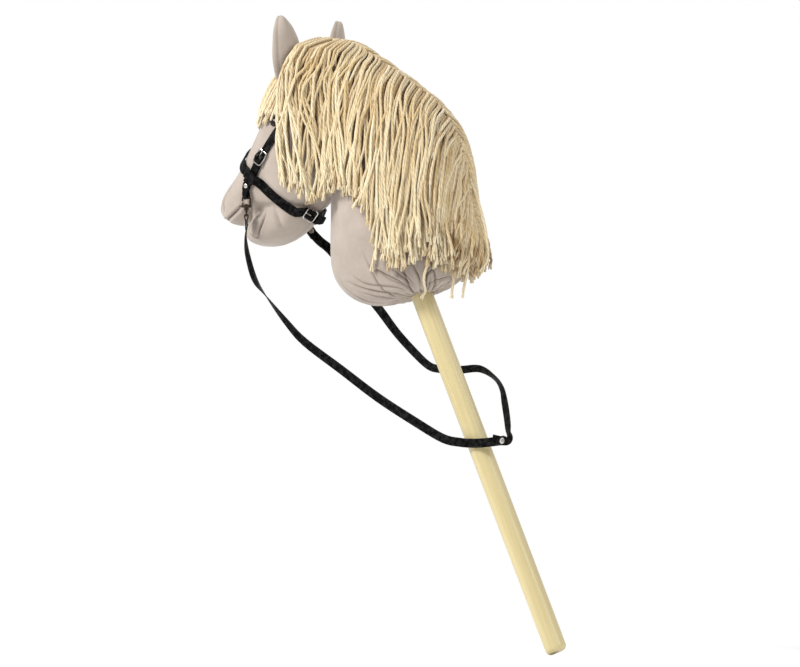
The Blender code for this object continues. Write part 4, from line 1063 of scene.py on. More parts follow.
# Each rein's course from its fold to its riveted end in millimetres, with its roll in degrees.
REIN_LEFT = (
    (-379.3, -48.8, 478, 92),
    (-380.4, -48.5, 468, 100),
    (-378, -48, 449, 120),
    (-368.6, -48, 421.4, 126),
    (-355, -46, 402.8, 90),
    (-330, -43, 373.4, 52),
    (-307.6, -40, 350.7, 33),
    (-261.6, -36, 319.1, 24),
    (-215.6, -32, 287.4, 18),
    (-170.1, -27, 260.2, 15),
    (-136.3, -22.5, 241.5, 15),
    (-115.5, -19, 236.9, 12),
    (-100, -17.2, 236, 8),
    (-89, -17.6, 236.3, 2),
    (-78.3, -17.3, 237.2, 0),
    (-73.9, -15.7, 237.8, 0),
    (-70.6, -11.4, 238.4, 0),
    (-69.4, -8, 238.8, 0),
    (-68.3, -5, 239.2, 0),
    (-67.2, -1.9, 239.6, 0),
)
REIN_RIGHT = (
    (-338.6, 49, 465.3, 0),
    (-325, 50, 454.8, 0),
    (-296, 51.5, 424, 12),
    (-261.5, 50, 388, 20),
    (-233.6, 42, 360.9, 28),
    (-203, 31, 337.7, 30),
    (-182.6, 25, 324.1, 32),
    (-168.5, 22, 320.2, 33),
    (-152.8, 22, 319.6, 33),
    (-141.2, 28, 319.1, 33),
    (-122.7, 38, 320.2, 40),
    (-106.1, 42, 310.6, 66),
    (-94, 38, 298, 60),
    (-87.4, 33, 283, 47),
    (-78.7, 23, 266.5, 47),
    (-72.5, 15, 254, 52),
    (-68.3, 9.5, 246, 70),
    (-66, 3.6, 240.6, 42),
    (-65, -1.5, 238.8, 2),
    (-66.6, -5.4, 238.7, 0),
    (-67.8, -8.6, 238.8, 0),
    (-69.3, -12.7, 239.4, 0),
    (-72.3, -20.8, 241, 0),
)
EYE_OF_LEFT_HOOK = HookEye(
    Vector((-0.3810498, -0.0458819, 0.5171057)),
    Vector((0.5, -0.8660254, 0.0)),
    Vector((0.8660254, 0.5, 0.0)),
    Vector((0.0, 0.0, 1.0)),
)
EYE_OF_RIGHT_HOOK = HookEye(
    Vector((-0.3663227, 0.0387522, 0.5025536)),
    Vector((0.5300336, 0.6362848, 0.5605407)),
    Vector((-0.6808064, 0.7133955, -0.1660405)),
    Vector((-0.5055363, -0.2936127, 0.8113104)),
)


# Stick


@dataclass
class Stick:
    """The round stick, with its rounded lower end."""

    radius: float = 12.5 * MM
    length: float = 655 * MM
    top_round: float = 2 * MM
    end_round: float = 5 * MM
    sides: int = 72

    def build(self) -> bpy.types.Mesh:
        """The stick's mesh, leaning as the toy is held.

        Returns:
            The mesh.
        """
        flat = self.radius - self.end_round
        profile = [(0.0, self.length)]
        for inwards, down in ((1.0, 0.0), (0.3, 0.3), (0.0, 1.0)):
            profile.append((self.radius - inwards * self.top_round, self.length - down * self.top_round))
        for height in np.linspace(self.length - 20 * MM, self.end_round + 12 * MM, 24):
            profile.append((self.radius, float(height)))
        for angle in np.linspace(0, math.pi / 2, 9):
            profile.append((flat + self.end_round * math.cos(angle), self.end_round * (1 - math.sin(angle))))
        profile += [(flat * 0.5, 0.0), (0.0, 0.0)]
        return turned("stick_dowel", profile, self.sides, Matrix.Rotation(-STICK_LEAN, 4, "Y"))

    def make(self) -> bpy.types.Object:
        """Builds and dresses the stick."""
        return finished("stick_dowel", self.build(), WOOD, "stick")


# Stuffed head


STICK_UP = np.array((-math.sin(STICK_LEAN), 0, math.cos(STICK_LEAN)))
STICK_FRONT = np.array((-math.cos(STICK_LEAN), 0, -math.sin(STICK_LEAN)))
STICK_BARE = 445 * MM
CLOTH_NODES = ("neck", "head", "lower_jaw")


def by_stick(front: float, up: float) -> tuple[float, float]:
    """A point of the neck's bottom.

    Args:
        front: Millimetres in front of the stick.
        up: Millimetres up it from where it enters the cloth.

    Returns:
        The point's x and z in millimetres.
    """
    place = STICK_UP * (STICK_BARE / MM + up) + STICK_FRONT * front
    return float(place[0]), float(place[2])


# A form's section: its front and back points and its half width, in millimetres.
Section = tuple[tuple[float, float], tuple[float, float], float]

NECK_SECTIONS: tuple[Section, ...] = (
    (by_stick(14, 3), by_stick(-14, -6), 14),
    (by_stick(25, 0), by_stick(-24, -9), 24),
    (by_stick(45, 1), by_stick(-40, -7), 37),
    (by_stick(64, 9), by_stick(-57, -2), 47),
    (by_stick(81, 24), by_stick(-72, 5), 53),
    (by_stick(92, 44), by_stick(-85, 16), 55),
    (by_stick(94, 66), by_stick(-93, 35), 56),
    ((-291, 470), (-112, 478), 56),
    ((-289, 512), (-116, 522), 54),
    ((-296, 560), (-131, 576), 50),
    ((-310, 600), (-160, 611), 45),
    ((-322, 632), (-206, 643), 40),
    ((-332, 659), (-249, 668), 34),
    ((-327, 679), (-280, 684), 23),
)
HEAD_SECTIONS: tuple[Section, ...] = (
    ((-322, 676), (-262, 598), 28),
    ((-345, 662), (-272, 566), 40),
    ((-365, 634), (-283, 534), 46),
    ((-379, 603), (-296, 511), 48),
    ((-394, 575), (-316, 495), 46),
    ((-405, 553), (-346, 494), 42),
    ((-416, 537), (-374, 502), 38),
    ((-429, 521), (-393, 489), 35),
    ((-435, 506), (-408, 483), 31),
    ((-434, 496), (-419, 483), 20),
)
JAW_SECTIONS: tuple[Section, ...] = (
    ((-322, 519), (-309, 501), 24),
    ((-338, 519), (-321, 488), 35),
    ((-354, 516), (-339, 470), 39),
    ((-369, 511), (-362, 458), 38),
    ((-382, 501), (-384, 458), 35),
    ((-393, 489), (-398, 464), 28),
    ((-398, 482), (-401, 470), 16),
)


@dataclass(frozen=True)
class Crease:
    """A crease pressed into the cloth, drawn as seen from one side, in millimetres.

    A crease seen from straight beside is on both sides of the head; one that is
    seen from a turned side is only there.
    """

    line: tuple[tuple[float, float], ...]
    depth: float
    width: float
    shade: float
    azimuth: float = 0.0

    def measure(self, rows: np.ndarray) -> tuple[np.ndarray, np.ndarray]:
        """How far some points are from the crease, as seen from its side.

        Args:
            rows: The points.

        Returns:
            Each point's distance, and how far along the crease it is.
        """
        right = np.array((math.cos(self.azimuth), math.sin(self.azimuth), 0.0))
        side = np.stack([rows @ right, rows[:, 2]], axis=1)
        line = smooth(self.line, 6) * MM
        away, share = np.full(len(side), 1.0), np.zeros(len(side))
        for k, (a, b) in enumerate(zip(line, line[1:])):
            step = b - a
            t = np.clip(((side - a) @ step) / (step @ step), 0, 1)
            near = np.linalg.norm(side - (a + t[:, None] * step), axis=1)
            closer = near < away
            away = np.where(closer, near, away)
            share = np.where(closer, (k + t) / (len(line) - 1), share)
        return away, share

    def facing(self, outs: np.ndarray) -> np.ndarray:
        """How squarely the cloth faces the side that the crease is seen from."""
        view = outs @ np.array((math.sin(self.azimuth), -math.cos(self.azimuth), 0.0))
        return eased((np.abs(view) - 0.15) / 0.3) if self.azimuth == 0 else eased((view - 0.02) / 0.2)


QUARTER = math.radians(30)
# Each crease's line, depth and width in millimetres, and its shade.
HEAD_CREASES = (
    (((-411, 528), (-418, 520), (-421, 510), (-419, 499)), 2.0, 1.5, 0.9),
    (((-429, 486), (-416, 491), (-404, 498), (-393, 506)), 3.0, 1.7, 1.0),
    (((-388, 495), (-382, 506), (-377, 517)), 2.4, 2.0, 0.7),
    (((-362, 499), (-365, 488), (-370, 478), (-374, 470)), 2.6, 1.6, 1.0),
    (((-384, 475), (-379, 469), (-374, 470)), 1.8, 1.3, 0.9),
    (((-380, 500), (-384, 488), (-386, 478)), 1.8, 2.6, 0.5),
    (((-352, 505), (-345, 492), (-342, 480)), 1.6, 3.0, 0.35),
    (((-392, 518), (-389, 505), (-390, 492), (-394, 480)), 1.8, 3.0, 0.5),
)
NECK_CREASES = (
    (((-212, 437), (-194, 427), (-179, 419.5), (-164, 411)), 2.4, 1.3, 1.0),
    (((-190, 436), (-174, 423), (-161, 412)), 2.6, 1.4, 1.0),
    (((-165, 441), (-160, 431), (-156, 423), (-154, 414)), 2.6, 1.3, 1.0),
    (((-132, 441), (-140, 434), (-148, 426), (-152, 416)), 2.6, 1.4, 1.0),
    (((-116, 427), (-127, 423), (-138, 420), (-149, 415)), 2.0, 1.3, 0.9),
    (((-240, 420), (-224, 413), (-208, 408.5), (-190, 406), (-168, 404)), 1.6, 1.5, 0.8),
    (((-234, 428), (-222, 419), (-210, 415), (-182, 412), (-166, 407)), 1.4, 1.6, 0.7),
    (((-222, 407), (-204, 402), (-186, 400), (-168, 401)), 1.4, 1.3, 0.7),
    (((-206, 392), (-192, 392), (-178, 395), (-167, 400)), 1.6, 1.4, 0.8),
    (((-201, 431), (-190, 422), (-176, 416), (-165, 410)), 1.3, 1.1, 0.7),
    (((-176, 431), (-167, 422), (-159, 413)), 1.6, 1.1, 0.8),
    (((-144, 436), (-148, 430), (-150, 420)), 1.6, 1.1, 0.8),
)
CREASES = (*(Crease(*row) for row in HEAD_CREASES), *(Crease(*row, QUARTER) for row in NECK_CREASES))


@dataclass
class StuffedHead:
    """The stuffed neck, head and jaw: one bag of cloth, filled, creased and gathered."""

    forms: tuple[tuple[str, tuple[Section, ...]], ...] = (
        ("neck_form", NECK_SECTIONS),
        ("head_form", HEAD_SECTIONS),
        ("jaw_form", JAW_SECTIONS),
    )
    straps: tuple[str, ...] = (
        "crown_strap",
        "cheek_strap_left",
        "noseband",
        "cheek_keeper",
        "noseband_keeper",
    )
    sides: int = 14
    fullness: float = 0.9
    voxel: float = 3.6 * MM
    shrink: float = 1.6 * MM
    cap: float = 5.0 * MM
    proud: float = 1.4 * MM
    slack: float = 0.7 * MM
    dent: float = 0.35 * MM
    strap_near: float = 2.5 * MM
    strap_fade: float = 7 * MM
    reach: float = 12 * MM
    pressure: float = 4.0
    steps: int = 20
    bore: float = 12.8 * MM
    bore_ends: tuple[float, float] = (380 * MM, 656 * MM)
    pleats: int = 40
    seam: float = 0.7 * MM
    seam_width: float = 1.3 * MM
    fine_reach: float = 78 * MM
    seed: int = 7

    def ring(self, entry: Section) -> list[Vector]:
        """One rounded section of a form.

        Args:
            entry: Its front and back points and its half width, in millimetres.

        Returns:
            The section's points.
        """
        front, back = (Vector((p[0], 0, p[1])) * MM for p in entry[:2])
        middle = (front + back) / 2
        # Subdividing draws a ring inwards by this share.
        rim = 3 / (2 + math.cos(2 * math.pi / self.sides))
        reach = (back - front) / 2 * rim
        across = Vector((0, entry[2] * MM * rim, 0))
        points = []
        for i in range(self.sides):
            angle = 2 * math.pi * i / self.sides
            c = math.copysign(abs(math.cos(angle)) ** self.fullness, math.cos(angle))
            s = math.copysign(abs(math.sin(angle)) ** self.fullness, math.sin(angle))
            points.append(middle - reach * c + across * s)
        return points

    def form(self, name: str, sections: Sequence[Section]) -> bpy.types.Mesh:
        """A smooth closed form over its sections.

        Args:
            name: The form's name.
            sections: Its sections in order.

        Returns:
            The mesh.
        """
        rings = np.array([[tuple(p) for p in self.ring(s)] for s in sections])
        return modified(rings_mesh(name, rings), "SUBSURF", levels=2, render_levels=2)

    def bag(self) -> bpy.types.Object:
        """The three forms as one closed bag of even small faces.

        Returns:
            The bag, not yet filled.
        """
        edit = bmesh.new()
        for name, sections in self.forms:
            edit.from_mesh(self.form(name, sections))
        joined = bpy.data.meshes.new("bag")
        edit.to_mesh(joined)
        edit.free()
        mesh = modified(joined, "REMESH", mode="VOXEL", voxel_size=self.voxel)
        for _ in range(3):
            self.relax(mesh, 0.5)
        return shown("bag", mesh)

    @staticmethod
    def relax(mesh: bpy.types.Mesh, share: float) -> None:
        """Draws each point towards its neighbours' middle.

        Args:
            mesh: The mesh.
            share: How far each point goes.
        """
        rows = points_of(mesh)
        pairs = np.empty(len(mesh.edges) * 2, dtype=np.int32)
        mesh.edges.foreach_get("vertices", pairs)
        pairs = pairs.reshape(-1, 2)
        total, count = np.zeros_like(rows), np.zeros(len(rows))
        for a, b in ((0, 1), (1, 0)):
            np.add.at(total, pairs[:, a], rows[pairs[:, b]])
            np.add.at(count, pairs[:, a], 1)
        move_points(mesh, rows + share * (total / np.maximum(count, 1)[:, None] - rows))

    def fill(self, obj: bpy.types.Object) -> bpy.types.Mesh:
        """Blows the bag up as cloth over its stuffing.

        Args:
            obj: The bag.

        Returns:
            The filled bag's mesh.
        """
        start = points_of(obj.data)
        move_points(obj.data, start - normals_of(obj.data) * self.shrink)
        cloth = obj.modifiers.new("stuffing", "CLOTH")
        cloth.settings.quality = 5
        cloth.settings.mass = 0.3
        cloth.settings.tension_stiffness = 12
        cloth.settings.compression_stiffness = 12
        cloth.settings.bending_stiffness = 0.3
        cloth.settings.use_pressure = True
        cloth.settings.uniform_pressure_force = self.pressure
        cloth.settings.effector_weights.gravity = 0.0
        cloth.point_cache.frame_start, cloth.point_cache.frame_end = 1, self.steps
        for number in range(1, self.steps + 1):
            bpy.context.scene.frame_set(number)
        mesh = settled(obj)
        bpy.context.scene.frame_set(1)
        moved = points_of(mesh) - start
        far = np.linalg.norm(moved, axis=1, keepdims=True)
        moved *= np.minimum(1.0, self.cap / np.maximum(far, 1e-9))
        move_points(mesh, start + moved)
        return mesh

    def hold(self, mesh: bpy.types.Mesh) -> None:
        """Keeps the filled bag near its form, and flat where a strap presses on it.

        Args:
            mesh: The filled bag's mesh.
        """
        form, straps = Skin(*CLOTH_NODES), Skin(*self.straps)
        rows = points_of(mesh)
        for i, (row, out) in enumerate(zip(rows, normals_of(mesh))):
            place = Vector(row)
            found = form.nearest(place, self.reach)
            if found is None:
                continue
            height = (place - found[0]).dot(found[1])
            beyond = straps.nearest(place)[2] - self.strap_near
            press = 1.0 - float(eased(beyond / self.strap_fade))
            limit = self.proud * (1 - press) - self.dent * press
            held = min(max(height, -self.slack), limit)
            rows[i] = place + Vector(out) * (held - height)
        move_points(mesh, rows)

    def pleated(self, rows: np.ndarray) -> tuple[np.ndarray, np.ndarray]:
        """The gathers that run in to the stick.

        Args:
            rows: The bag's points.

        Returns:
            How far each point goes in, and how much painted shade its fold gets.
        """
        rng = np.random.default_rng(self.seed)
        from_mouth = rows - STICK_UP * STICK_BARE
        up = from_mouth @ STICK_UP
        flat = from_mouth - np.outer(up, STICK_UP)
        front = flat @ STICK_FRONT
        far = np.linalg.norm(flat, axis=1)
        angle = np.arctan2(flat[:, 1], front)
        run = np.hypot(far - 13 * MM, np.maximum(up, 0))
        depth, shade = np.zeros(len(rows)), np.zeros(len(rows))
        for k in range(self.pleats):
            middle = 2 * math.pi * (k + rng.uniform(-0.32, 0.32)) / self.pleats - math.pi
            bend = rng.uniform(-5.0, 5.0)
            reach = rng.uniform(26, 52) * MM if k % 3 else rng.uniform(62, 100) * MM
            deep = rng.uniform(0.9, 2.0) * MM
            narrow = rng.uniform(0.7, 1.0) * MM
            turn = angle - middle - bend * (far - 14 * MM)
            turn = (turn + math.pi) % (2 * math.pi) - math.pi
            away = np.abs(turn) * np.maximum(far, 10 * MM)
            spread = narrow + 0.014 * run
            fade = 1 - eased((run - 0.35 * reach) / (0.65 * reach))
            lip = bell(away, 1.6 * spread, 2.6 * spread)
            depth += deep * (bell(away, spread) - 0.4 * lip) * fade
            # Painted shade down the middle of each pleat.
            shade += 1.2 * bell(away, 0.65 * spread) * fade
        waver = angle * 34 + 2.2 * np.sin(far * 130) + 1.4 * np.sin(angle * 7 + 1)
        fine = np.clip(np.sin(waver), 0, 1) ** 2 * (1 - eased((run - 10 * MM) / (26 * MM)))
        # Painted shade in the fine wrinkles at the stick and over the lower neck.
        low_neck_shade = eased((run - 12 * MM) / (25 * MM)) * (1 - eased((run - 50 * MM) / (70 * MM)))
        shade += 0.35 * fine + 0.17 * low_neck_shade
        return depth + 0.9 * MM * fine, np.clip(shade, 0, 1)

    def creased(self, rows: np.ndarray, outs: np.ndarray) -> tuple[np.ndarray, np.ndarray]:
        """The creases of the muzzle, mouth and jaw, and the drawn ones of the neck.

        Args:
            rows: The bag's points.
            outs: The ways out there.

        Returns:
            How far each point goes in, and how much painted shade its crease gets.
        """
        depth, shade = np.zeros(len(rows)), np.zeros(len(rows))
        for crease in CREASES:
            away, share = crease.measure(rows)
            width = crease.width * MM
            weight = np.sin(math.pi * np.clip(share * 0.94 + 0.03, 0, 1)) ** 0.6 * crease.facing(outs)
            lip = bell(away, 1.2 * width, 2.1 * width)
            depth += crease.depth * MM * (bell(away, width) - 0.3 * lip) * weight
            # Painted shade along the crease's middle.
            shade += crease.shade * bell(away, 0.6 * width) * weight
        return depth, np.clip(shade, 0, 1)

    def refine(self, mesh: bpy.types.Mesh) -> bpy.types.Mesh:
        """Smaller faces where the cloth is gathered and creased.

        Args:
            mesh: The filled bag's mesh.

        Returns:
            The mesh with one subdivision all over and one more in those places.
        """
        fine = modified(mesh, "SUBSURF", levels=1, render_levels=1)
        mouth = STICK_UP * (STICK_BARE + 4 * MM)
        edit = bmesh.new()
        edit.from_mesh(fine)
        edit.faces.ensure_lookup_table()
        middles = np.array([tuple(f.calc_center_median()) for f in edit.faces])
        wanted = np.linalg.norm(middles - mouth, axis=1) < self.fine_reach
        for crease in CREASES:
            wanted |= crease.measure(middles)[0] < 5 * MM
        near = [edit.faces[i] for i in np.flatnonzero(wanted)]
        edges = list({e for f in near for e in f.edges})
        bmesh.ops.subdivide_edges(edit, edges=edges, cuts=1, use_grid_fill=True, smooth=0.0)
        bmesh.ops.triangulate(edit, faces=[f for f in edit.faces if len(f.verts) > 4])
        edit.to_mesh(fine)
        edit.free()
        return fine

    def bored(self, mesh: bpy.types.Mesh) -> bpy.types.Mesh:
        """The bag with the hole that the stick fills.

        Args:
            mesh: The finished bag.

        Returns:
            The mesh with its hole.
        """
        foot, top = self.bore_ends
        profile = [(0.0, top), (self.bore, top), (self.bore, foot), (0.0, foot)]
        tool = shown("bore", turned("bore", profile, 56, Matrix.Rotation(-STICK_LEAN, 4, "Y")))
        made = modified(mesh, "BOOLEAN", operation="DIFFERENCE", solver="MANIFOLD", object=tool)
        bpy.data.objects.remove(tool)
        return made

    def make(self) -> bpy.types.Object:
        """Returns:
            The piece.
        """
        mesh = self.fill(self.bag())
        self.hold(mesh)
        mesh = self.refine(mesh)
        rows, outs = points_of(mesh), normals_of(mesh)
        gather, gather_shade = self.pleated(rows)
        crease, crease_shade = self.creased(rows, outs)
        seam = bell(rows[:, 1], self.seam_width)
        inwards = gather + crease + self.seam * seam
        move_points(mesh, rows - outs * inwards[:, None])
        # Painted shade of the pleats, creases and middle seam's groove, stored as the fold attribute.
        note(mesh, "fold", np.clip(np.maximum(gather_shade * 0.8, crease_shade) + 0.25 * seam, 0, 1))
        mesh = self.bored(mesh)
        mesh.shade_smooth()
        obj = finished("stuffed_head", mesh, CLOTH, *CLOTH_NODES)
        return obj


# Ears


@dataclass
class Ear:
    """A stuffed leaf with a hollow front and a sewn rim; base, tip and sections in millimetres."""

    side: Side
    base: tuple[float, float, float]
    tip: tuple[float, float, float]
    turn_in: float = math.radians(12)
    sides: int = 40
    rings: int = 30
    cup: float = 4 * MM
    lean_back: float = 5 * MM
    seam: float = 0.7 * MM
    stitch: float = 0.4 * MM
    # Share of the way up, half the width and half the thickness.
    sections: tuple[tuple[float, float, float], ...] = (
        (0.0, 13, 8),
        (0.22, 19.5, 9),
        (0.48, 22, 8.3),
        (0.78, 15.5, 6),
        (0.97, 5.5, 3),
        (1.0, 1.6, 1.2),
    )

    def build(self) -> bpy.types.Mesh:
        """The ear's mesh.

        Returns:
            The mesh, with the painted shade of its seam groove noted.
        """
        base, tip = Vector(self.base) * MM, Vector(self.tip) * MM
        up = (tip - base).normalized()
        front = Vector((-math.cos(self.turn_in), -self.side.value * math.sin(self.turn_in), 0))
        across = up.cross(front).normalized()
        front = across.cross(up).normalized()
        table = smooth(self.sections, 6)
        rings, seam_groove_shade = [], []
        for share in np.linspace(0, 1, self.rings) ** 0.9:
            wide, thick = (float(np.interp(share, table[:, 0], table[:, k])) * MM for k in (1, 2))
            middle = base.lerp(tip, float(share))
            middle -= front * self.lean_back * math.sin(math.pi * float(share))
            ring = []
            for i in range(self.sides):
                angle = 2 * math.pi * i / self.sides
                a, b = math.cos(angle), math.sin(angle)
                near, groove = float(bell(1 - abs(a), 0.02)), float(bell(1 - abs(a), 0.035, 0.09))
                hollow = self.cup * (a * a - 0.5)
                grow = self.seam * (near - 0.5 * groove)
                place = middle + across * (wide + grow) * a
                ring.append(tuple(place + front * ((thick - self.stitch * groove) * b + hollow)))
                # Painted shade in the seam's groove.
                seam_groove_shade.append(groove * 0.6)
            rings.append(ring)
        mesh = rings_mesh(f"ear_{self.side.word}_cloth", np.array(rings))
        note(mesh, "fold", np.array(seam_groove_shade)[: len(mesh.vertices)])
        return mesh

    def make(self) -> bpy.types.Object:
        """Returns:
            The piece.
        """
        word = self.side.word
        obj = finished(f"ear_{word}_cloth", self.build(), CLOTH, f"ear_{word}")
        return obj


# Eyes


@dataclass
class Eye:
    """A domed bead on the cloth, with its shank; place and out are the right eye's."""

    side: Side
    place: tuple[float, float, float] = (-0.347, 0.041275, 0.602)
    out: tuple[float, float, float] = (-0.319554, 0.914570, 0.247886)
    radius: float = 6 * MM
    height: float = 3.7 * MM
    rim: float = 0.6 * MM
    shank: float = 1.5 * MM
    depth: float = 11 * MM

    def matrix(self) -> Matrix:
        """Puts the bead's middle on the cloth and turns it outwards.

        Returns:
            The matrix.
        """
        x, y, z = self.out
        out = Vector((x, self.side.value * y, z))
        level = Vector((0, 0, 1)).cross(out).normalized()
        turn = Matrix((level, out.cross(level), out)).transposed().to_4x4()
        x, y, z = self.place
        return Matrix.Translation((x, self.side.value * y, z)) @ turn

    def build(self) -> bpy.types.Mesh:
        """The bead's mesh.

        Returns:
            The mesh.
        """
        profile = []
        for angle in np.linspace(0, math.pi / 2, 15):
            profile.append((self.radius * math.sin(angle), self.height * math.cos(angle)))
        profile += [(self.radius, -self.rim), (self.shank, -self.rim)]
        profile += [(self.shank, -self.depth), (0.0, -self.depth)]
        return turned(f"eye_{self.side.word}_bead", profile, 40, self.matrix())

    def make(self) -> bpy.types.Object:
        """Builds and dresses the bead."""
        word = self.side.word
        return finished(f"eye_{word}_bead", self.build(), EYE, f"eye_{word}")


# Yarn


class YarnTree:
    """The geometry nodes that give strands of yarn their round body."""

    def __init__(self, material: bpy.types.Material) -> None:
        """Builds the tree.

        Args:
            material: The material that the strands get.
        """
        tree = bpy.data.node_groups.new("yarn_strands", "GeometryNodeTree")
        tree.interface.new_socket("Geometry", in_out="INPUT", socket_type="NodeSocketGeometry")
        self.tree, self.material, self.keys = tree, material, {}
        for name, kind in (("Sides", "Int"), ("Thickness", "Float"), ("Finish", "Material")):
            socket = tree.interface.new_socket(name, in_out="INPUT", socket_type="NodeSocket" + kind)
            self.keys[name] = socket.identifier
        tree.interface.new_socket("Geometry", in_out="OUTPUT", socket_type="NodeSocketGeometry")
        graph = Graph(tree)
        start = graph.add("NodeGroupInput")
        curve = graph.add("GeometryNodeMeshToCurve", None, {0: start["Geometry"]})
        length = graph.add("GeometryNodeSplineParameter", out="Length")
        curve = self.keep(curve, "along", "FLOAT", length)
        sockets = {"Resolution": start["Sides"], "Radius": 1.0}
        ring = graph.add("GeometryNodeCurvePrimitiveCircle", {"mode": "RADIUS"}, sockets)
        ring = self.keep(ring, "ply", "FLOAT_VECTOR", graph.add("GeometryNodeInputPosition"))
        settings, sockets = {"data_type": "FLOAT"}, {"Name": "strand_radius"}
        scale = graph.add("GeometryNodeInputNamedAttribute", settings, sockets) * start["Thickness"]
        sockets = {"Curve": curve, "Profile Curve": ring, "Scale": scale, "Fill Caps": True}
        body = graph.add("GeometryNodeCurveToMesh", None, sockets)
        body = graph.add("GeometryNodeSetShadeSmooth", None, {"Geometry": body})
        body = graph.add("GeometryNodeRealizeInstances", None, {"Geometry": body})
        sockets = {"Geometry": body, "Material": start["Finish"]}
        body = graph.add("GeometryNodeSetMaterial", None, sockets)
        graph.add("NodeGroupOutput", None, {0: body})

    @staticmethod
    def keep(geometry: Signal, name: str, kind: str, value: Signal) -> Signal:
        """Stores a value on the points of some geometry.

        Args:
            geometry: The geometry.
            name: The attribute's name.
            kind: Its data type.
            value: Its value.

        Returns:
            The geometry with its attribute.
        """
        settings = {"data_type": kind, "domain": "POINT"}
        sockets = {"Geometry": geometry, "Name": name, "Value": value}
        return geometry.graph.add("GeometryNodeStoreNamedAttribute", settings, sockets)

    def grow(self, name: str, strands: Sequence["Strand"], sides: int) -> bpy.types.Mesh:
        """The strands as one plain mesh.

        Args:
            name: The mesh's name.
            strands: The strands.
            sides: How many sides each has.

        Returns:
            The mesh, with what the finish reads noted on it.
        """
        points = np.concatenate([s.points for s in strands])
        counts = [len(s.points) for s in strands]
        edges, first = [], 0
        for count in counts:
            edges += [(i, i + 1) for i in range(first, first + count - 1)]
            first += count
        lines = bpy.data.meshes.new(name)
        lines.from_pydata([tuple(p) for p in points], edges, [])
        note(lines, "strand_radius", np.concatenate([s.radii for s in strands]))
        note(lines, "tone", np.repeat([s.tone for s in strands], counts))
        # How deep each strand lies, which the yarn reads as painted shade.
        note(lines, "deep", np.repeat([s.deep for s in strands], counts))
        obj = shown(name, lines)
        body = obj.modifiers.new("body", "NODES")
        body.node_group = self.tree
        for key, value in (("Sides", sides), ("Thickness", 1.0), ("Finish", self.material)):
            body[self.keys[key]] = value
        return settled(obj)


@dataclass
class Strand:
    """One strand: its middle line, its radius along it, its tone and how deep it lies, which sets its
    painted shade.
    """

    points: np.ndarray
    radii: np.ndarray
    tone: float
    deep: float


PLY_UNDER = 0.35
PLY_SLIM = np.array((0.6, 0.66, 0.68, 0.66, 0.6, 0.42))


def frayed(strand: Strand, rng: np.random.Generator, spread: float) -> list[Strand]:
    """A strand with its end undone into three thin plies.

    Args:
        strand: The strand.
        rng: Where the chances come from.
        spread: How far the plies part at their ends.

    Returns:
        The strand and its plies.
    """
    tail = strand.points[-1]
    way = unit(tail - strand.points[-3])
    side = unit(np.cross(way, rng.normal(size=3)))
    other = np.cross(way, side)
    plies = []
    reach = rng.uniform(4, 7.5) * MM
    for k in range(3):
        angle = 2 * math.pi * k / 3 + rng.uniform(-0.5, 0.5)
        out = side * math.cos(angle) + other * math.sin(angle)
        steps = np.linspace(-PLY_UNDER, 1.0, len(PLY_SLIM))
        opened = eased((steps + PLY_UNDER) / (1 + PLY_UNDER)) * 0.8 + 0.2
        open_by = opened * spread * rng.uniform(0.6, 1.2)
        sag = np.outer(np.maximum(steps, 0) ** 2 * reach * 0.25, (0, 0, -1))
        line = tail + np.outer(steps * reach, way) + np.outer(open_by, out) + sag
        radii, tone = strand.radii[-1] * PLY_SLIM, min(1.0, strand.tone + 0.35)
        # The plies get half the strand's painted shade.
        plies.append(Strand(line, radii, tone, strand.deep * 0.5))
    return [strand, *plies]


# The crest's x and z, and the x at which a strand from there hangs.
MANE_CREST = (
    (-306, 690, -338),
    (-297, 690, -322),
    (-286, 689, -304),
    (-270, 679, -276),
    (-250, 669, -244),
    (-225, 655, -211),
    (-199, 641, -181),
    (-174, 626, -157),
    (-156, 608, -144),
    (-140, 590, -132),
    (-129, 572, -124),
    (-120, 548, -118),
    (-114, 522, -113),
    (-109, 490, -107),
)
# A tip's x, and how low it hangs there.
MANE_HEMS = (
    (-342, 541),
    (-328, 538),
    (-322, 532),
    (-317, 518),
    (-305, 522),
    (-292, 514),
    (-284, 520),
    (-277, 518),
    (-271, 532),
    (-260, 528),
    (-250, 520),
    (-236, 518),
    (-221, 510),
    (-205, 492),
    (-197, 470),
    (-190, 454),
    (-179, 438),
    (-167, 443),
    (-148, 452),
    (-138, 450),
    (-124, 440),
    (-115, 435),
    (-106, 430),
)


# The step that spreads the strands evenly over the layer's depth.
GOLDEN = 0.618034


@dataclass(frozen=True)
class StrayStrand:
    """One strand that has come loose from the rest, as seen from the side, and how near it lies."""

    side: Side
    line: tuple[tuple[float, float], ...]
    near: float = 4.0


STRAYS = (
    StrayStrand(Side.LEFT, ((-124, 505), (-127, 480), (-134, 456), (-145, 432), (-154, 413), (-160, 405))),
    StrayStrand(Side.LEFT, ((-112, 505), (-111, 470), (-109, 440), (-114, 420), (-117, 406))),
    StrayStrand(Side.LEFT, ((-200, 570), (-205, 545), (-213, 524), (-225, 509)), 13),
    StrayStrand(Side.LEFT, ((-192, 520), (-196, 500), (-199, 478), (-203, 456), (-208, 437)), 4),
    StrayStrand(Side.LEFT, ((-128, 480), (-127, 450), (-124, 426), (-127, 406)), 5),
    StrayStrand(
        Side.RIGHT,
        ((-124, 552), (-113, 532), (-103, 508), (-95, 482), (-92, 460), (-91, 445), (-97, 436)),
    ),
)


def evenly(rows: np.ndarray, steps: np.ndarray, at: np.ndarray) -> np.ndarray:
    """Rows read again at other places along their line.

    Args:
        rows: The rows.
        steps: How far along the line each row is.
        at: Where they are wanted.

    Returns:
        The rows there.
    """
    return np.stack([np.interp(at, steps, rows[:, k]) for k in range(rows.shape[1])], axis=1)


